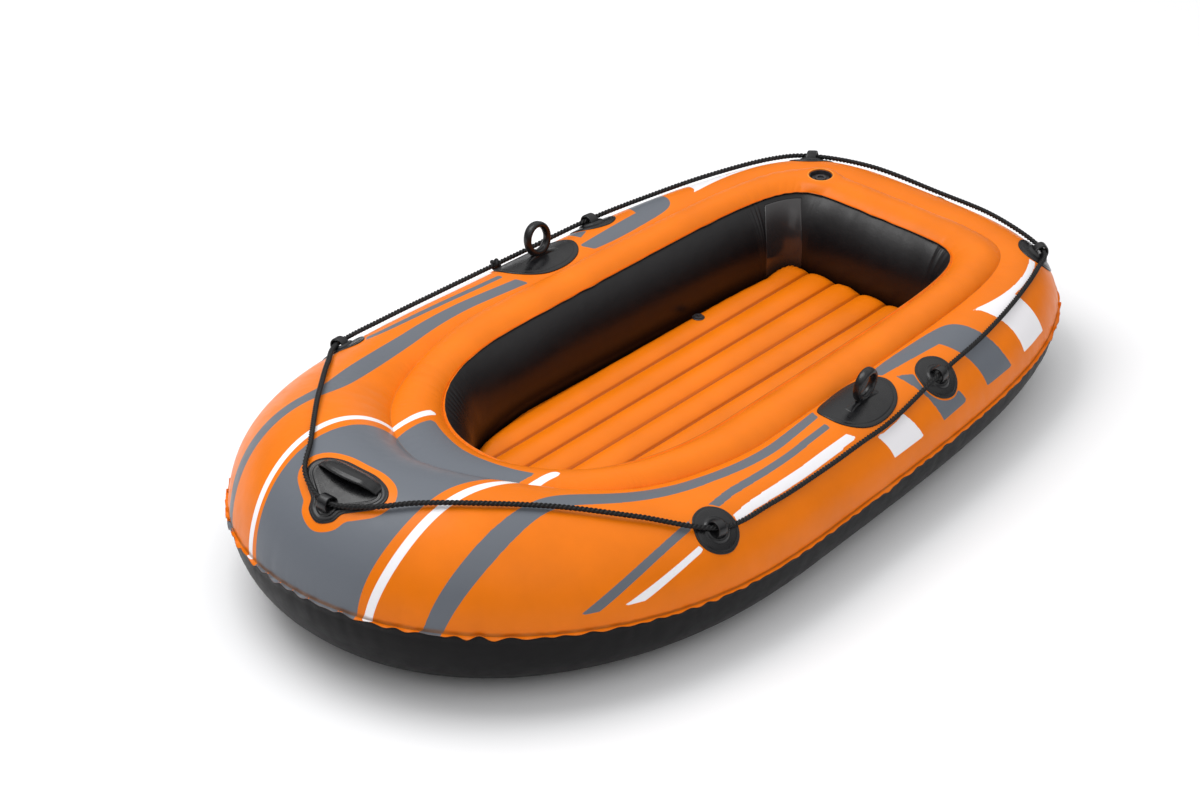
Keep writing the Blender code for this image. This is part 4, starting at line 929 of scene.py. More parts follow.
def wall_lift(share):
    """Folds from both of the wall's welds and slow waves between them."""
    slow = 0.0012 * wander(61, 4, 22, 6) * math.sin(math.pi * share) ** 2
    return slow + wall_pull * (
        gathers(wall_length * share, (0.0006, 63, 0.018, 0.006), (0.0012, 65, 0.046, 0.018))
        + gathers(wall_length * (1 - share), (0.0006, 67, 0.021, 0.007), (0.0012, 69, 0.055, 0.022)))


strip_u, strip_half, strip_fade = -2.600, 0.30, 0.06
strip_quiet = ease(np.abs(signed_u - strip_u), strip_half, strip_half + strip_fade)
inside_depth = 0.0036   # the sheet's inside lies deeper than its folds
wall_rows = []
for share, off in ((1.0, 0.0), (1.0, film), (0.5, film), (0.12, film)):
    wall_rows.append(lip_row(share, -(half_gap + off)))
for share in spread(34, 0.10)[1:-1]:
    wall_rows.append(on_wall(hull, hull_arcs, share, film + wall_lift(share) * strip_quiet))
for away in (0.0, 0.5, 1.0):
    wall_rows.append(column_row(hull.floor - film - (floor_flange - film) * away, wall_foot_z + film))
wall_rows.append(column_row(hull.floor - floor_flange, wall_foot_z))
for share in (1.0, 0.8, 0.6, 0.4, 0.2, 0.0):
    wall_rows.append(on_wall(hull, hull_arcs, share, -inside_depth * math.sin(math.pi * share)))
wall_film = film_finish("dark_wall_film", (0.0050, 0.0042, 0.0050), 0.34, 0.15, gloss=0.34)
wall = np.array(wall_rows)
piece("cockpit_wall", wall, quads(len(wall), columns, True, True), wall_film,
      "cockpit_wall_skin")

# %% The glossy strip over the wall's joint
strip_half_width, strip_rows, strip_columns = 0.030, 40, 25
strip_shares, strip_across = np.meshgrid(np.linspace(0.05, 0.88, strip_rows),
                                         np.linspace(-1, 1, strip_columns), indexing="ij")
centre_arc = wall_arcs(Section(*rays(np.array([-strip_u]), -1.0)))
strip_reach = centre_arc[0][0, 0] + centre_arc[1] * np.cos(centre_arc[2] + centre_arc[3] * strip_shares)
strip_round = strip_u + strip_across * strip_half_width / strip_reach / (math.pi / 2)
strip_section = Section(*rays(-strip_round.ravel(), -1.0))
strip_arcs = wall_arcs(strip_section)


def sheet_faces(rows, columns_here):
    """Faces of a sheet from two equal grids, front then back, closed round its rim."""
    front = quads(rows, columns_here)
    back = front[:, ::-1] + rows * columns_here
    rim = np.concatenate([np.arange(columns_here), (np.arange(1, rows) + 1) * columns_here - 1,
                          (rows - 1) * columns_here + np.arange(columns_here - 2, -1, -1),
                          np.arange(rows - 2, 0, -1) * columns_here])
    after = np.roll(rim, -1)
    sides = np.stack([after, rim, rim + rows * columns_here, after + rows * columns_here], -1)
    return np.concatenate([front, back, sides])


strip_film = film_finish("glossy_strip_film", (0.022, 0.020, 0.021), 0.22, 0.1, 0.4, 0.4)
strip_points = [on_wall(strip_section, strip_arcs, strip_shares.ravel(), lift)
                for lift in (2 * film + gap, film + gap)]
piece("wall_strip", strip_points, sheet_faces(strip_rows, strip_columns), strip_film,
      "wall_overlap_strip", tidy=True)

# %% [markdown]
# The floor is an air mattress: two sheets joined by upright webs, which hold it in ribs. Each rib is half
# an ellipse across. Towards the weld the whole height falls to the weld along a quarter circle, and there
# the ends of the ribs gather into folds. The height is worked out for every point of a grid that follows
# the floor's outline.

# %% The floor's height
rib_pitch, web_count = 0.055, 5
rib_half_count = (web_count + 1) / 2
floor_round = 0.030
order = np.argsort(signed_u)
folds_floor = folds(71, 0.024)[order], folds(73, 0.058)[order]
floor_valve_place = np.array((-0.143, 0.288))


def floor_height(points, weld_z, crease_z, ridge_z, gathered):
    """Height over each plan point: weld + (crease + (ridge - crease) * arch - weld) * rounding, where arch
    is a half ellipse across each rib and rounding a quarter circle from the weld inwards."""
    origin, direction = ray_through(points)
    along = ((points - origin) * direction).sum(1)
    away = reach(origin, direction, cockpit_loop) - floor_inset - floor_flange - along
    rounding = rounded_edge(away, floor_round)
    x, y = points.T
    across = np.abs(x / rib_pitch + rib_half_count) % 1
    arch = np.sqrt(np.clip(1 - (2 * across - 1) ** 2, 0, 1))
    angle = np.arctan2(direction[:, 1], np.abs(direction[:, 0])) / (math.pi / 2)
    share = np.clip((y - bow_y) / (corner_y - bow_y), 0, 1)
    u = np.where(y < bow_y, angle + 1, np.where(y <= corner_y, 1 + share, 2 + angle))
    in_stern = (y > corner_y) & (np.abs(x) <= corner_x)
    u = np.where(in_stern, 3 + (1 - np.abs(x) / corner_x), u) * np.where(x < 0, -1, 1)
    fine, broad = (np.interp(u, signed_u[order], one) for one in folds_floor)
    ends = 0.35 + 0.65 * ease(np.abs(direction[:, 1]), 0.3, 0.9)
    lift = gathered * ends * (0.0018 * fine * bell(away, 0.008) + 0.0024 * broad * bell(away, 0.020))
    quiet = ease(apart(points, floor_valve_place), 0.012, 0.024)
    return weld_z + (crease_z + (ridge_z - crease_z) * arch - weld_z) * rounding + lift * quiet


def floor_grid(across_count, along_count, rim=0.001):
    """Plan points inside the floor's weld: columns across the boat, each running from bow to stern."""
    ring = hull.origin + (hull.floor - rim)[:, None] * hull.direction
    half_ring = ring[:columns // 2 + 1]
    widest = int(np.argmax(half_ring[:, 0]))
    bow_side, stern_side = half_ring[:widest + 1], half_ring[widest:][::-1]
    a = np.linspace(-1, 1, across_count)
    x = half_ring[widest, 0] * 0.9999 * (0.5 * a + 0.5 * np.sin(a * math.pi / 2))
    low = np.interp(np.abs(x), bow_side[:, 0], bow_side[:, 1])
    high = np.interp(np.abs(x), stern_side[:, 0], stern_side[:, 1])
    t = spread(along_count - 1, 0.125)[:, None]
    return np.stack([np.broadcast_to(x, (along_count, across_count)), low + (high - low) * t], -1)


def floor_sheet(name, plan, weld_z, crease_z, ridge_z, thickness, gathered, finish, node):
    """Both faces of one of the floor's sheets as a closed piece. thickness is negative for the lower one."""
    rows, across_count = plan.shape[:2]
    flat = plan.reshape(-1, 2)
    inner = floor_height(flat, weld_z, crease_z, ridge_z, gathered)
    faces = sheet_faces(rows, across_count)
    both = np.concatenate([np.column_stack([flat, inner + thickness]), np.column_stack([flat, inner])])
    return piece(name, both, faces if thickness > 0 else faces[:, ::-1], finish, node)


# The ribs' valleys lie at whole rib pitches from the middle and carry a painted shade, from 0.8 down to
# nothing.
floor_film, valley_shade_colour = film_finish("floor_film", orange, 0.34, 0.2), (0.300, 0.052, 0.001)
across_ribs = floor_film.add("SeparateXYZ", None, Vector=floor_film.where).outputs["X"]
in_pitches = floor_film.math("DIVIDE", across_ribs, rib_pitch)
in_rib = floor_film.math("FRACT", floor_film.math("ADD", in_pitches, 10.5))
from_valley = floor_film.math("ABSOLUTE", floor_film.math("SUBTRACT", in_rib, 0.5))
# Painted shade: the floor's orange is darkened towards each rib's valley.
painted_valley_shade = floor_film.remap(from_valley, 0.018, 0.085, 0.80, 0.0)
floor_film.look(Base_Color=floor_film.mix(painted_valley_shade, floor_film.shade, valley_shade_colour))
top_valley_z, top_ridge_z, under_valley_z, under_ridge_z = 0.079, 0.092, 0.024, 0.012
floor_top = floor_sheet("floor_ribs", floor_grid(216, 150), floor_weld_z + half_gap, top_valley_z,
                        top_ridge_z, film, 1.0, floor_film, "floor_top_sheet")
floor_sheet("floor_underside", floor_grid(110, 80), floor_weld_z - half_gap, under_valley_z, under_ridge_z,
            -film, 0.0, black_film, "floor_bottom_sheet")

# %% [markdown]
# Inside, out of sight, five webs hold the floor's two sheets together, and one sheet parts the two air
# chambers of the hull. They are made as thin waved sheets, so that the boat is whole if it is cut open.

# %% Webs and the sheet between the chambers
inner_film = film_finish("inner_film", orange, 0.5, 0.3)
web_rows, web_columns, web_wave = 8, 60, 0.0005
for number in range(web_count):
    node = f"floor_web_{number + 1}"
    low, high = (np.array(corner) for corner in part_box(node))
    y, z = np.meshgrid(np.linspace(low[1], high[1], web_columns), np.linspace(low[2], high[2], web_rows))
    wave = web_wave * np.sin(y * 42 + number) * np.sin(math.pi * (z - low[2]) / (high[2] - low[2]))
    x = (low[0] + high[0]) / 2 + wave
    both = np.concatenate([np.stack([x + film / 2, y, z], -1), np.stack([x - film / 2, y, z], -1)])
    piece(f"web_{number + 1}", both, sheet_faces(web_rows, web_columns), inner_film, node)

baffle_foot = np.minimum(hull.crease, hull.root - hull.seam_z - film) + film / 2
baffle_rows, baffle_shares, baffle_wave = [], np.linspace(0, 1, 9), 0.0010
for side_off, shares in ((film / 2, baffle_shares), (-film / 2, baffle_shares[::-1])):
    for share in shares:
        wave = baffle_wave * wander(81, 4, 30, 6) * math.sin(math.pi * share)
        across = (hull.crease + film / 2) * (1 - share) + baffle_foot * share + wave + side_off
        baffle_rows.append(column_row(across, (hull.crease_z - gap) * (1 - share) + (film + gap) * share))
baffle_grid = np.array(baffle_rows)[:, ::2]
piece("chamber_sheet", baffle_grid, quads(*baffle_grid.shape[:2], True, True), inner_film,
      "chamber_baffle")

# %% [markdown]
# Patches, rings, eyes and the grip are moulded from soft black plastic and welded on. Each one is drawn
# flat and laid on the tube. A patch is a set of rings that shrink from its outline to its middle, and its
# height at each point comes from the distance to the outline: a rounded rim, a pressed border line, and
# a raised field. The standing parts are sections carried along a path.

# %% Moulded fittings: patches


class Fitting:
    """Collects grids that belong to one moulding and makes one piece of them."""

    def __init__(self):
        """Starts with nothing in it."""
        self.points, self.faces, self.count = [], [], 0

    def add(self, points, faces):
        """Adds points and the faces between them."""
        points = np.asarray(points, float).reshape(-1, 3)
        self.points.append(points)
        self.faces += [[corner + self.count for corner in face] for face in faces]
        self.count += len(points)

    def make(self, name, finish, slot, node=None, body="hull"):
        """Makes the piece from all that was added."""
        return piece(name, np.concatenate(self.points), self.faces, finish, node, body, tidy=True)


def patch_grid(fitting, lay, outline, height, rings=26, under_rings=7):
    """Rings of points from the outline to the middle. height(s, w, away) gives the lift over the film,
    away being the distance to the outline; the underside lies just over the film."""
    centre, low = outline.mean(0), gap * 0.3

    def shrunk(shares):
        """The outline drawn towards the middle by each share."""
        flat = centre + (outline - centre) * (1 - shares)[:, None, None]
        return flat[..., 0], flat[..., 1]

    t = np.concatenate([[0.0], np.linspace(0, 1, rings) ** 1.25])
    s, w = shrunk(t)
    away = nearest(np.stack([s, w], -1).reshape(-1, 2), closed_line(outline)).reshape(s.shape)
    away[:2] = 0
    lift = gap + height(s, w, away)
    lift[0] = low
    fitting.add(lay(s, w, lift), quads(len(t), len(outline), close_columns=True))
    fitting.add(lay(*shrunk(np.linspace(0, 1, under_rings)), low),
                quads(under_rings, len(outline), close_columns=True)[:, ::-1])


def step_up(away, place, size, wide):
    """A smooth step of a size at a place."""
    return size * ease(away, place - wide / 2, place + wide / 2)


def swept(fitting, lay, sections, close=False):
    """A section carried along a path. The sections are drawing points (s, w, lift), already placed, one
    ring for each step of the path."""
    rings = np.asarray(sections)
    points = lay(rings[..., 0], rings[..., 1], rings[..., 2])
    faces = quads(len(rings), rings.shape[1], close_rows=close, close_columns=True).tolist()
    if not close:
        last = (len(rings) - 1) * rings.shape[1]
        faces += [list(range(rings.shape[1]))[::-1], [last + k for k in range(rings.shape[1])]]
    fitting.add(points, faces)


def round_box(half_wide, half_high, power, count):
    """A closed section: a superellipse with a given power, from a circle (2) towards a box (8)."""
    c, s = np.cos(full_turn(count)), np.sin(full_turn(count))
    return np.stack([half_wide * np.sign(c) * np.abs(c) ** (2 / power),
                     half_high * np.sign(s) * np.abs(s) ** (2 / power)], -1)


eye_long, eye_span, eye_high, eye_wall = 0.015, 0.026, 0.017, 0.0035


def add_eye(fitting, lay, s, w, low, long=eye_long, span=eye_span, high=eye_high, wall=eye_wall):
    """The arch that the rope runs through: a rounded bar carried over half an ellipse across the rope."""
    section = round_box(long / 2, wall / 2, 4.5, 20)
    rings = []
    for angle in np.linspace(-0.10, math.pi + 0.10, 34):
        middle = np.array((math.cos(angle) * (span - wall) / 2, math.sin(angle) * (high - wall / 2)))
        normal = unit(np.array((math.cos(angle) / (span - wall), math.sin(angle) / (2 * high - wall))))
        flare = 1 + 0.22 * (1 - abs(math.sin(angle)))
        rings.append(np.stack([s + section[:, 0] * flare, w + middle[0] + section[:, 1] * normal[0],
                               low + middle[1] + section[:, 1] * normal[1]], -1))
    swept(fitting, lay, rings)


moulded = Finish("moulded_black", (0.006, 0.006, 0.007), 0.30, Specular_IOR_Level=0.36, Coat_Weight=0.05,
                 Coat_Roughness=0.25)
moulded.look(Base_Color=moulded.mix(moulded.cloud(60.0, 3.0, 0.6), (0.004, 0.004, 0.005),
                                    (0.008, 0.008, 0.009)),
             Roughness=moulded.cloud(120.0, 3.0, 0.6, 0.24, 0.36),
             Normal=moulded.bump(moulded.noise(700.0, 2.0, 0.6), 0.35, 0.00018,
                                 moulded.bump(moulded.noise(90.0), 0.2, 0.0006)))
print("moulded black ready")

# %% Rope holders: an egg-shaped patch, a round boss and the eye
boss_radius, boss_height = 0.021, 0.0025
patch_top, foot_sink = gap + patch_thickness, 0.0012    # what stands on a patch starts a little inside it


def holder_height(s, w, away):
    """Rounded rim, a groove 4 mm in, a boss with a raised edge and a shallow dish inside it."""
    inwards = boss_radius - np.hypot(s, w)
    rim = patch_thickness * rounded_edge(away, 0.0014)
    groove, field = -0.0005 * hump(away, 0.0042, 0.0008), step_up(away, 0.0060, 0.0003, 0.002)
    boss, ridge = boss_height * ease(inwards, -0.0006, 0.0024), 0.0009 * hump(inwards, 0.0042, 0.0011)
    return rim + groove + field + boss + ridge - 0.0008 * ease(inwards, 0.006, 0.009)


for place_name, place in holder_places.items():
    for side_name, side in (("right", 1), ("left", -1)):
        name = f"rope_holder_{place_name}_{side_name}"
        lay, outline, _ = patches[name]
        holder = Fitting()
        patch_grid(holder, lay, outline, holder_height, 34)
        add_eye(holder, lay, 0, 0, patch_top + boss_height - foot_sink)
        holder.make(name + "_moulding", moulded, "moulded", name)

# %% Oar rings: a longer patch and a ring that stands on a waisted foot
ring_half_long, ring_half_high, ring_lift, fin_half_long = 0.0215, 0.0245, patch_top + 0.0315, 0.038


def oarlock_height(s, w, away):
    """Rounded rim, a thin pressed line 7 mm in, a field that rises a little towards the ring's foot."""
    rim = patch_thickness * rounded_edge(away, 0.0016)
    line = -0.0007 * hump(away, 0.0068, 0.0007) + 0.0003 * hump(away, 0.0084, 0.0008)
    mound = 0.0016 * hump(s, 0, 0.034) * hump(w, 0, 0.011)
    return rim + line + step_up(away, 0.0090, 0.0002, 0.003) + mound


def add_oar_ring(fitting, lay):
    """The bar is carried round an upright ellipse and is thicker at its foot. The foot is a fin along the
    hull: its half width and height at each place come from straight runs between a few shares."""
    rings = []
    for angle in full_turn(72):
        thick = 0.0050 + 0.0016 * max(0.0, -math.sin(angle)) ** 2
        section = round_box(thick, thick, 2.3, 22)
        rings.append(np.stack([(ring_half_long + section[:, 0]) * math.cos(angle), section[:, 1] * 1.02,
                               ring_lift + (ring_half_high + section[:, 0]) * math.sin(angle)], -1))
    swept(fitting, lay, rings, True)
    places = np.linspace(-1, 1, 41)
    half_wide = np.interp(np.abs(places), (0, 0.35, 0.6, 0.85, 1.0), (0.0062, 0.0050, 0.0052, 0.0072, 0.0088))
    high = np.interp(np.abs(places), (0, 0.15, 0.35, 0.6, 0.85, 1.0),
                     (0.0140, 0.0118, 0.0082, 0.0050, 0.0030, 0.0018))
    rings = []
    for place, wide, tall in zip(places, half_wide, high):
        section = round_box(wide, tall, 3.0, 28)
        rings.append(np.stack([np.full(28, place * fin_half_long), section[:, 0],
                               patch_top - foot_sink + section[:, 1]], -1))
    swept(fitting, lay, rings)


for side_name, side in (("right", 1), ("left", -1)):
    name = "oarlock_" + side_name
    lay, outline, _ = patches[name]
    oarlock = Fitting()
    patch_grid(oarlock, lay, outline, oarlock_height, 40)
    add_oar_ring(oarlock, lay)
    oarlock.make(name + "_moulding", moulded, "moulded", name)

# %% The carrying handle at the bow
bow_eye_w = -0.041
grip_half, grip_front, grip_high = 0.060, -0.0015, 0.022
hood_rows, hood_columns = 27, 73


def bow_height(s, w, away):
    """Rounded rim, a raised border 4 mm wide, and a field that lies lower inside it."""
    border = 0.0014 * ease(away, 0.0030, 0.0048) * (1 - ease(away, 0.0085, 0.0105))
    return patch_thickness * rounded_edge(away, 0.0016) + border + 0.0008 * hump(away, 0.0140, 0.0009)


def calmed(values, reach_count):
    """Each value's mean over its neighbours on both sides."""
    count = 2 * reach_count + 1
    return np.convolve(np.pad(values, reach_count, mode="edge"), np.ones(count) / count, "valid")


lay, outline, _ = patches["bow_handle"]
handle = Fitting()
patch_grid(handle, lay, outline, bow_height, 44)
add_eye(handle, lay, 0, bow_eye_w, patch_top - foot_sink, 0.016, 0.027, 0.0172, 0.0036)
hood_s, hood_b = np.linspace(-1, 1, hood_columns), np.linspace(0, 1, hood_rows)[:, None]
rear = np.array([outline[(outline[:, 1] > 0) & (np.abs(outline[:, 0] - s * grip_half) < 0.004)][:, 1].mean()
                 for s in hood_s])
rear = calmed(rear, 3) - 0.0055
profile_shares = np.interp(np.abs(hood_s), (0, 0.3, 0.6, 0.86, 1), (1.0, 0.97, 0.88, 0.55, 0.10))
profile = calmed(profile_shares, 2) * grip_high
front = grip_front - 0.0030 * (1 - hood_s ** 2)


def hood_face(under):
    """The hood over the finger space: s along the hull, b from its front edge to its rear. Its height is
    profile * (1 - b^2.4) with thin ribs beside the edge, less its thickness for the inner face."""
    b = hood_b
    lift = gap + 0.0008 + profile * (1 - b ** 2.4)
    relief = 0.0006 * hump(b, 0.20, 0.035) + 0.0005 * hump(b, 0.62, 0.030) - 0.0010 * hump(b, 0, 0.035)
    lift, least = (lift - 0.0042 + 0.0014 * b, 0.0004) if under else (lift + relief, 0.0008)
    return lay(hood_s * grip_half, front + (rear - front) * b, np.maximum(lift, gap + least))


handle.add([hood_face(False), hood_face(True)], sheet_faces(hood_rows, hood_columns))
handle.make("bow_handle_moulding", moulded, "moulded", "bow_handle")

# %% [markdown]
# The grab rope is one closed loop of three strands laid round each other. Its middle line runs through
# every eye. Around that line the outside of three round strands is r = b cos(a) + sqrt(R^2 - b^2 sin(a)^2),
# where b is how far a strand's middle stands from the rope's, R is the strand's radius and a the angle from
# the strand's middle. The three strands turn once round in each lay length.

# %% The grab rope
rope_radius, rope_lay, rope_step, rope_around, rope_free = 0.00420, 0.0205, 0.00105, 18, 0.0078
# Plan points before each eye, from the bow, in metres. The rope hangs a little otherwise at each side's bow.
same_spans = (("aft", ((0.39591, -0.18197), (0.39319, -0.06099), (0.38798, 0.03503), (0.38229, 0.12702))),
              ("corner", ((0.34479, 0.39432), (0.31799, 0.51499), (0.28041, 0.63217))))
bow_spans = {1: ((0.06601, -0.68301), (0.11971, -0.63953), (0.18462, -0.57451), (0.25251, -0.4853),
                 (0.32079, -0.39463)),
             -1: ((0.06399, -0.682), (0.107, -0.63), (0.18269, -0.54583), (0.23652, -0.48352),
                  (0.31098, -0.39401))}
stern_points = ((0.13, 0.72401), (0.0, 0.73602), (-0.13, 0.72401))
eye_middle = patch_top - 0.001 + (eye_high - eye_wall) / 2


def rope_half(side):
    """The rope's points on one side, from bow to stern: free spans and the eye after each."""
    points = []
    for name, plan in (("forward", bow_spans[side]), *same_spans):
        points += [outer_place(place, side)(0, 0, rope_free) for place in plan]
        points.append(outer_place(holder_places[name], side)(0, 0, eye_middle + boss_height))
    return points


def way_along(line):
    """The direction of a closed line at each point, from its neighbours."""
    return unit(np.roll(line, -1, 0) - np.roll(line, 1, 0))


def round_line(line, side_way, up_way, radius, count):
    """Rings round a line: middle + radius (cos(angle) side + sin(angle) up)."""
    angle = full_turn(count)
    return line[:, None] + radius[..., None] * (np.cos(angle)[None, :, None] * side_way[:, None]
                                                + np.sin(angle)[None, :, None] * up_way[:, None])


def thread_place(along, around, third):
    """A place for the fibres of each point: metres along the strand, round it, and a number per strand."""
    return np.stack(np.broadcast_arrays(along, around, third), -1).reshape(-1, 3)


stern_span = [outer_place((abs(x), y), math.copysign(1, x))(0, 0, rope_free) for x, y in stern_points]
route = np.array([outer_place(bow_place)(0, bow_eye_w, eye_middle)] + rope_half(1) + stern_span
                 + rope_half(-1)[::-1])
middle = closed_line(smooth_line(route, 24, True))
run = np.concatenate([[0], np.cumsum(np.linalg.norm(np.diff(middle, axis=0), axis=1))])
rope_length = run[-1]
ring_count = int(rope_length / rope_step)
at = rope_length * np.arange(ring_count) / ring_count
centre_line = np.stack([np.interp(at, run, middle[:, k]) for k in range(3)], -1)
tangent = way_along(centre_line)
side_way = unit(np.cross(tangent, (0.0, 0.0, 1.0)))
up_way = np.cross(side_way, tangent)
turns = round(rope_length / rope_lay * 3) / 3
turned_by = (2 * math.pi * turns * at / rope_length)[:, None]
strand_off = strand_radius = 0.50 * rope_radius
from_strand = (full_turn(rope_around) - turned_by + math.pi / 3) % (2 * math.pi / 3) - math.pi / 3
sideways = strand_off * np.sin(from_strand)
radius = strand_off * np.cos(from_strand) + np.sqrt(strand_radius ** 2 - sideways ** 2)
rope_points = round_line(centre_line, side_way, up_way, radius, rope_around)
rope_finish = Finish("rope_black", (0.004, 0.004, 0.004), 0.50, "strand_place", Specular_IOR_Level=0.22)
fine_place = rope_finish.add("Mapping", None, Vector=rope_finish.where, Scale=(900, 3500, 0))
fibre = rope_finish.noise(1.0, 2.0, 0.6, fine_place.outputs["Vector"])
rope_finish.look(Base_Color=rope_finish.mix(rope_finish.remap(fibre, 0.3, 0.7), (0.004, 0.004, 0.004),
                                            (0.012, 0.012, 0.013)),
                 Normal=rope_finish.bump(fibre, 0.5, 0.0002))
rope_thread = thread_place(at[:, None], from_strand * rope_radius, turned_by * 0.001)
piece("grab_rope_strands", rope_points, quads(ring_count, rope_around, True, True), rope_finish,
      "grab_rope", tidy=True, attributes={"strand_place": rope_thread})
print("rope", round(float(rope_length), 3), "m,", round(turns, 1), "turns")

# %% [markdown]
# The rope's two ends are joined by a knot, which the photo shows beside the far oarlock. It is a trefoil,
# the simplest closed knot, turned so that the rope runs into its middle.

# %% The knot on the far side
knot_place, knot_size, knot_radius = np.array((-0.3858, 0.066, 0.1977)), 0.0075, 0.0034
knot_rings, knot_around, knot_step = 120, 14, 0.0008


def knot_line(count, size):
    """A trefoil: ((2 + cos 3t) cos 2t, (2 + cos 3t) sin 2t, 1.3 sin 3t) times a size over three."""
    t = full_turn(count)
    wide = 2 + np.cos(3 * t)
    return np.stack([wide * np.cos(2 * t), wide * np.sin(2 * t), 1.3 * np.sin(3 * t)], -1) * size / 3


knot_at = int(np.argmin(apart(centre_line, knot_place)))
axes = np.stack([side_way[knot_at], up_way[knot_at], tangent[knot_at]])
knot_middle = knot_line(knot_rings, knot_size) @ axes + centre_line[knot_at]
knot_way = way_along(knot_middle)
knot_side = unit(np.cross(knot_way, axes[2]))
knot_points = round_line(knot_middle, knot_side, np.cross(knot_side, knot_way),
                         np.full((knot_rings, knot_around), knot_radius), knot_around)
knot_thread = thread_place(knot_step * np.arange(knot_rings)[:, None],
                           knot_radius * full_turn(knot_around), 0.0)
piece("grab_rope_knot", knot_points, quads(knot_rings, knot_around, True, True), rope_finish,
      tidy=True, attributes={"strand_place": knot_thread})

# %% [markdown]
# The valves are turned shapes: a profile carried round an axis, with every corner rounded. The main valve
# has a cup sunk in the inner tube, an insert screwed into it, a rubber flap under the insert and a cap.

# %% Turned pieces


def rounded(profile, radius, steps=3):
    """The closed profile with each corner replaced by a short curve. A corner on the axis stays."""
    profile = np.asarray(profile, float)
    made = []
    for k, corner in enumerate(profile):
        before, after = profile[k - 1] - corner, profile[(k + 1) % len(profile)] - corner
        a, b = np.linalg.norm(before), np.linalg.norm(after)
        size = min(radius, 0.42 * a, 0.42 * b)
        if corner[0] < 1e-6:
            made.append(corner)
            continue
        start, end = corner + before / a * size, corner + after / b * size
        for t in np.linspace(0, 1, steps + 1):
            made.append((1 - t) ** 2 * start + 2 * t * (1 - t) * corner + t * t * end)
    return np.array(made)


def turned_points(profile, centre, axis, count=72):
    """The profile (radius, height) carried round an axis through a centre."""
    axis = unit(np.asarray(axis, float))
    first = unit(np.cross(axis, (1.0, 0.0, 0.0)))
    angle = full_turn(count)
    ring = np.cos(angle)[:, None] * first + np.sin(angle)[:, None] * np.cross(axis, first)
    return np.asarray(centre) + profile[:, :1, None] * ring[None] + profile[:, 1:, None] * axis


def turned(fitting, profile, centre, axis, radius=0.0003, count=72):
    """Adds a turned solid to a fitting. The profile runs anticlockwise, seen with the axis to its left."""
    profile = rounded(profile, radius)
    on_axis = (profile[:, 0] < 1e-6).any()
    if on_axis:
        first = int(np.argmax(profile[:, 0] < 1e-6))
        profile = np.roll(profile, -first, axis=0)
        if profile[1, 0] < 1e-6:
            profile = np.roll(profile, -1, axis=0)
    points = turned_points(profile, centre, axis, count)
    fitting.add(points, quads(len(profile), count, not on_axis, True))


up = (0, 0, 1)
main_rim = 0.2201
main_centre = (*main_valve_place, main_rim)
valve_black = Finish("valve_black", (0.020, 0.019, 0.021), 0.38, Specular_IOR_Level=0.5)
valve_black.look(Base_Color=valve_black.mix(valve_black.cloud(150.0, 3.0), (0.014, 0.013, 0.015),
                                            (0.030, 0.028, 0.031)),
                 Roughness=valve_black.cloud(300.0, low=0.32, high=0.46),
                 Normal=valve_black.bump(valve_black.noise(1500.0), 0.25, 0.0001))
flap_rubber = Finish("flap_rubber", (0.012, 0.012, 0.013), 0.6)
flap_rubber.look(Roughness=flap_rubber.cloud(400.0, low=0.5, high=0.72),
                 Normal=flap_rubber.bump(flap_rubber.noise(1200.0), 0.3, 0.0001))
# The raised rim round the valve is real film. Its orange is lighter than the hull's as a painted highlight on
# that welded edge.
rim_highlight_finish = film_finish("valve_rim_painted_highlight", (0.850, 0.300, 0.040), 0.30)

rim, cup, insert, flap, cap = (Fitting() for _ in range(5))
turned(rim, ((0.0200, 0.0009), (0.0212, 0.0022), (0.0226, 0.0014), (0.0226, 0.0004), (0.0200, 0.0004)),
       main_centre, up, 0.0004)
rim.make("main_valve_film_rim", rim_highlight_finish, "top_print")
turned(cup, ((0.0182, 0), (0.0197, 0), (0.0197, -0.0105), (0.0148, -0.0105), (0.0148, -0.026),
             (0.0128, -0.026), (0.0128, -0.009), (0.0182, -0.009)), main_centre, up)
cup.make("main_valve_cup", valve_black, "valve", "main_valve_base")

# The insert is a ring with a cross of four bars under it, and the hub that holds the flap's stem.
turned(insert, ((0.0107, -0.0072), (0.0165, -0.0072), (0.0165, -0.0087), (0.0125, -0.0087), (0.0125, -0.024),
                (0.0085, -0.024), (0.0085, -0.0225), (0.0107, -0.0225)), main_centre, up)
bar_middle, bar_half_long, bar_half_wide, bar_low, bar_high = 0.0065, 0.0031, 0.0015, -0.0239, -0.0226
bar = np.array([(a, b, c) for c in (bar_low, bar_high) for a, b in ((-1, -1), (1, -1), (1, 1), (-1, 1))])
bar_faces = [[0, 3, 2, 1], [4, 5, 6, 7], [0, 1, 5, 4], [1, 2, 6, 5], [2, 3, 7, 6], [3, 0, 4, 7]]
for along_y in (False, True):
    for end in (-1, 1):
        x, y = end * bar_middle + bar[:, 0] * bar_half_long, bar[:, 1] * bar_half_wide
        x, y = (y, x) if along_y else (x, y)
        insert.add(np.column_stack([x, y, bar[:, 2]]) + main_centre, bar_faces)
turned(insert, ((0.0016, bar_high), (0.0036, bar_high), (0.0036, bar_low), (0.0016, bar_low)),
       main_centre, up, 0.0002, 36)
insert.make("main_valve_screw", valve_black, "valve", "main_valve_insert", "valve_insert")
turned(flap, ((0, -0.0182), (0.0026, -0.0182), (0.0026, -0.0192), (0.0013, -0.0192), (0.0013, -0.0243),
              (0.0097, -0.0243), (0.0097, -0.0251), (0, -0.0251)), main_centre, up, 0.0002, 48)
flap.make("main_valve_flap", flap_rubber, "flap", "main_valve_diaphragm", "valve_flap")
turned(cap, ((0, -0.0057), (0.0052, -0.0057), (0.0055, -0.0029), (0.0094, -0.0029), (0.0097, -0.0057),
             (0.0150, -0.0057), (0.0165, -0.0060), (0.0165, -0.0069), (0.0104, -0.0069), (0.0104, -0.0129),
             (0.0092, -0.0129), (0.0092, -0.0069), (0, -0.0069)), main_centre, up)
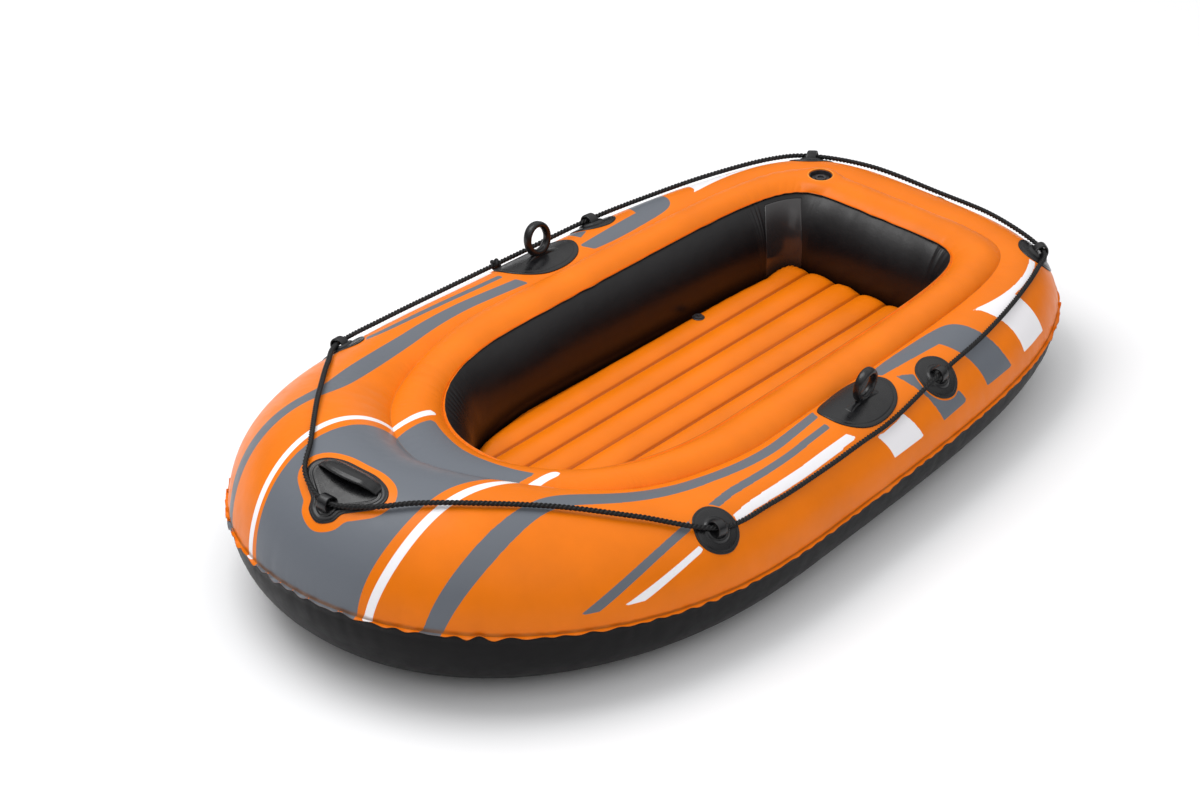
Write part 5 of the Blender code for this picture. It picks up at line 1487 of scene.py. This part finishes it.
cap.make("main_valve_lid", valve_black, "valve", "main_valve_cap", "valve_cap")


def plug_valve(name, centre, axis, flange, bore, body):
    """A small valve: a flanged neck through the film, and the plug that closes it."""
    neck, head, stem = bore + 0.0018, flange - 0.0025, bore - 0.0003
    base, plug = Fitting(), Fitting()
    turned(base, ((bore, 0.0011), (bore + 0.0009, 0.0015), (flange - 0.001, 0.0015), (flange, 0.0006),
                  (flange, 0.0002), (neck, 0.0002), (neck, -0.012), (bore, -0.012)), centre, axis)
    base.make(name + "_neck", valve_black, "valve", name + "_base")
    turned(plug, ((0, 0.0057), (0.0028, 0.0057), (0.0028, 0.0032), (head, 0.0032), (head, 0.0018),
                  (stem, 0.0018), (stem, -0.0072), (0, -0.0072)), centre, axis)
    plug.make(name + "_stopper", valve_black, "valve", name + "_plug", body)


plug_valve("floor_valve", (*floor_valve_place, 0.0925), up, 0.0105, 0.0052, "floor_plug")
plug_valve("stern_valve", stern_valve_point, stern_out, 0.0160, 0.0090, "stern_plug")

# %% [markdown]
# The films still run across the valves' openings. Each opening is cut with a round punch, as the maker
# does it: a Boolean modifier takes the punch away from the film, and its result becomes the mesh.

# %% Punch the valves' holes


def punch(target, holes):
    """Cuts round holes (centre, axis, radius, half depth). Each point of the result takes the print's
    values from the nearest point that the film had before."""
    tool = Fitting()
    for centre, axis, radius, depth in holes:
        turned(tool, ((0, depth), (radius, depth), (radius, -depth), (0, -depth)), centre, axis, 0.0, 96)
    mesh = bpy.data.meshes.new("punch")
    mesh.from_pydata(np.concatenate(tool.points).tolist(), [], tool.faces)
    clean(mesh)
    cutter = placed("punch", mesh)
    cut_here = target.modifiers.new("holes", "BOOLEAN")
    cut_here.operation, cut_here.solver, cut_here.object = "DIFFERENCE", "EXACT", cutter
    before = len(target.data.vertices)
    made = bpy.data.meshes.new_from_object(target.evaluated_get(bpy.context.evaluated_depsgraph_get()))
    target.modifiers.clear()
    old, target.data = target.data, made
    tree = KDTree(before)
    for vertex in old.vertices:
        tree.insert(vertex.co, vertex.index)
    tree.balance()
    for kept in [a.name for a in old.attributes if a.domain == "POINT" and a.data_type == "FLOAT"]:
        values = [one.value for one in old.attributes[kept].data]
        if kept in made.attributes:
            made.attributes.remove(made.attributes[kept])
        field = made.attributes.new(kept, "FLOAT", "POINT")
        field.data.foreach_set("value", [values[tree.find(vertex.co)[1]] for vertex in made.vertices])
    name = old.name
    bpy.data.objects.remove(cutter)
    bpy.data.meshes.remove(mesh)
    bpy.data.meshes.remove(old)
    made.name = name
    print(name, before, "points before and", len(made.vertices), "after the cut")


punch(top_skin, [((*main_valve_place, main_rim), up, 0.0200, 0.012),
                 (stern_valve_point, stern_out, 0.0111, 0.006)])
punch(floor_top, [((*floor_valve_place, 0.090), up, 0.0073, 0.008)])

# %% [markdown]
# The boat stands on a plain pale floor that runs far past the picture, so floor and background are one
# tone. The light from all round is dim near the ground and bright overhead, so upright faces stay dark.
# One large soft light hangs high over the boat's far side, towards the bow, and draws the long soft
# highlights on the film. A weaker one fills the near side.

# %% Floor, background and lights
floor_mesh = bpy.data.meshes.new("studio_floor")
floor_half, floor_z = 30.0, -0.0002
floor_corners = [(x * floor_half, y * floor_half, floor_z) for x, y in ((-1, -1), (1, -1), (1, 1), (-1, 1))]
floor_mesh.from_pydata(floor_corners, [], [(0, 1, 2, 3)])
studio_white = Finish("studio_white", (0.86, 0.86, 0.87), 0.9)
floor_mesh.materials.append(studio_white.material)
studio_floor = placed("studio_floor", floor_mesh)
studio_floor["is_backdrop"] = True

world = bpy.data.worlds.new("studio")
bpy.context.scene.world = world
world.use_nodes = True
sky = world.node_tree.nodes
sky_place, sky_parts, sky_ramp = (
    sky.new("ShaderNode" + kind) for kind in ("TexCoord", "SeparateXYZ", "MapRange"))
sky_ramp.interpolation_type = "SMOOTHSTEP"
for socket, value in zip(("From Min", "From Max", "To Min", "To Max"), (0.15, 0.80, 0.16, 1.20)):
    sky_ramp.inputs[socket].default_value = value
for start, end in ((sky_place.outputs["Generated"], sky_parts.inputs[0]),
                   (sky_parts.outputs["Z"], sky_ramp.inputs["Value"]),
                   (sky_ramp.outputs["Result"], sky["Background"].inputs["Strength"])):
    world.node_tree.links.new(start, end)
sky["Background"].inputs["Color"].default_value = (1, 1, 1, 1)


def soft_light(name, place, aim, size, power):
    """A square soft light at a place, turned towards a point."""
    data = bpy.data.lights.new(name, "AREA")
    data.shape, data.size, data.size_y, data.energy = "RECTANGLE", size, size, power
    light = placed(name, data)
    light.rotation_euler = (Vector(place) - Vector(aim)).to_track_quat("Z", "Y").to_euler()
    light.location = place


# Size in metres and power in watts.
soft_light("overhead", (-1.1, -0.9, 3.2), (0, 0, 0.1), 2.2, 62)
soft_light("near_fill", (3.5, -1.5, 2.0), (0, 0, 0.1), 2.5, 9)

# %% Work out the sizes and finish
boxes = {"cad": cad_box, "visual": [[float(value) for value in corner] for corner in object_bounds()]}
print("box of the visual model:", boxes["visual"])
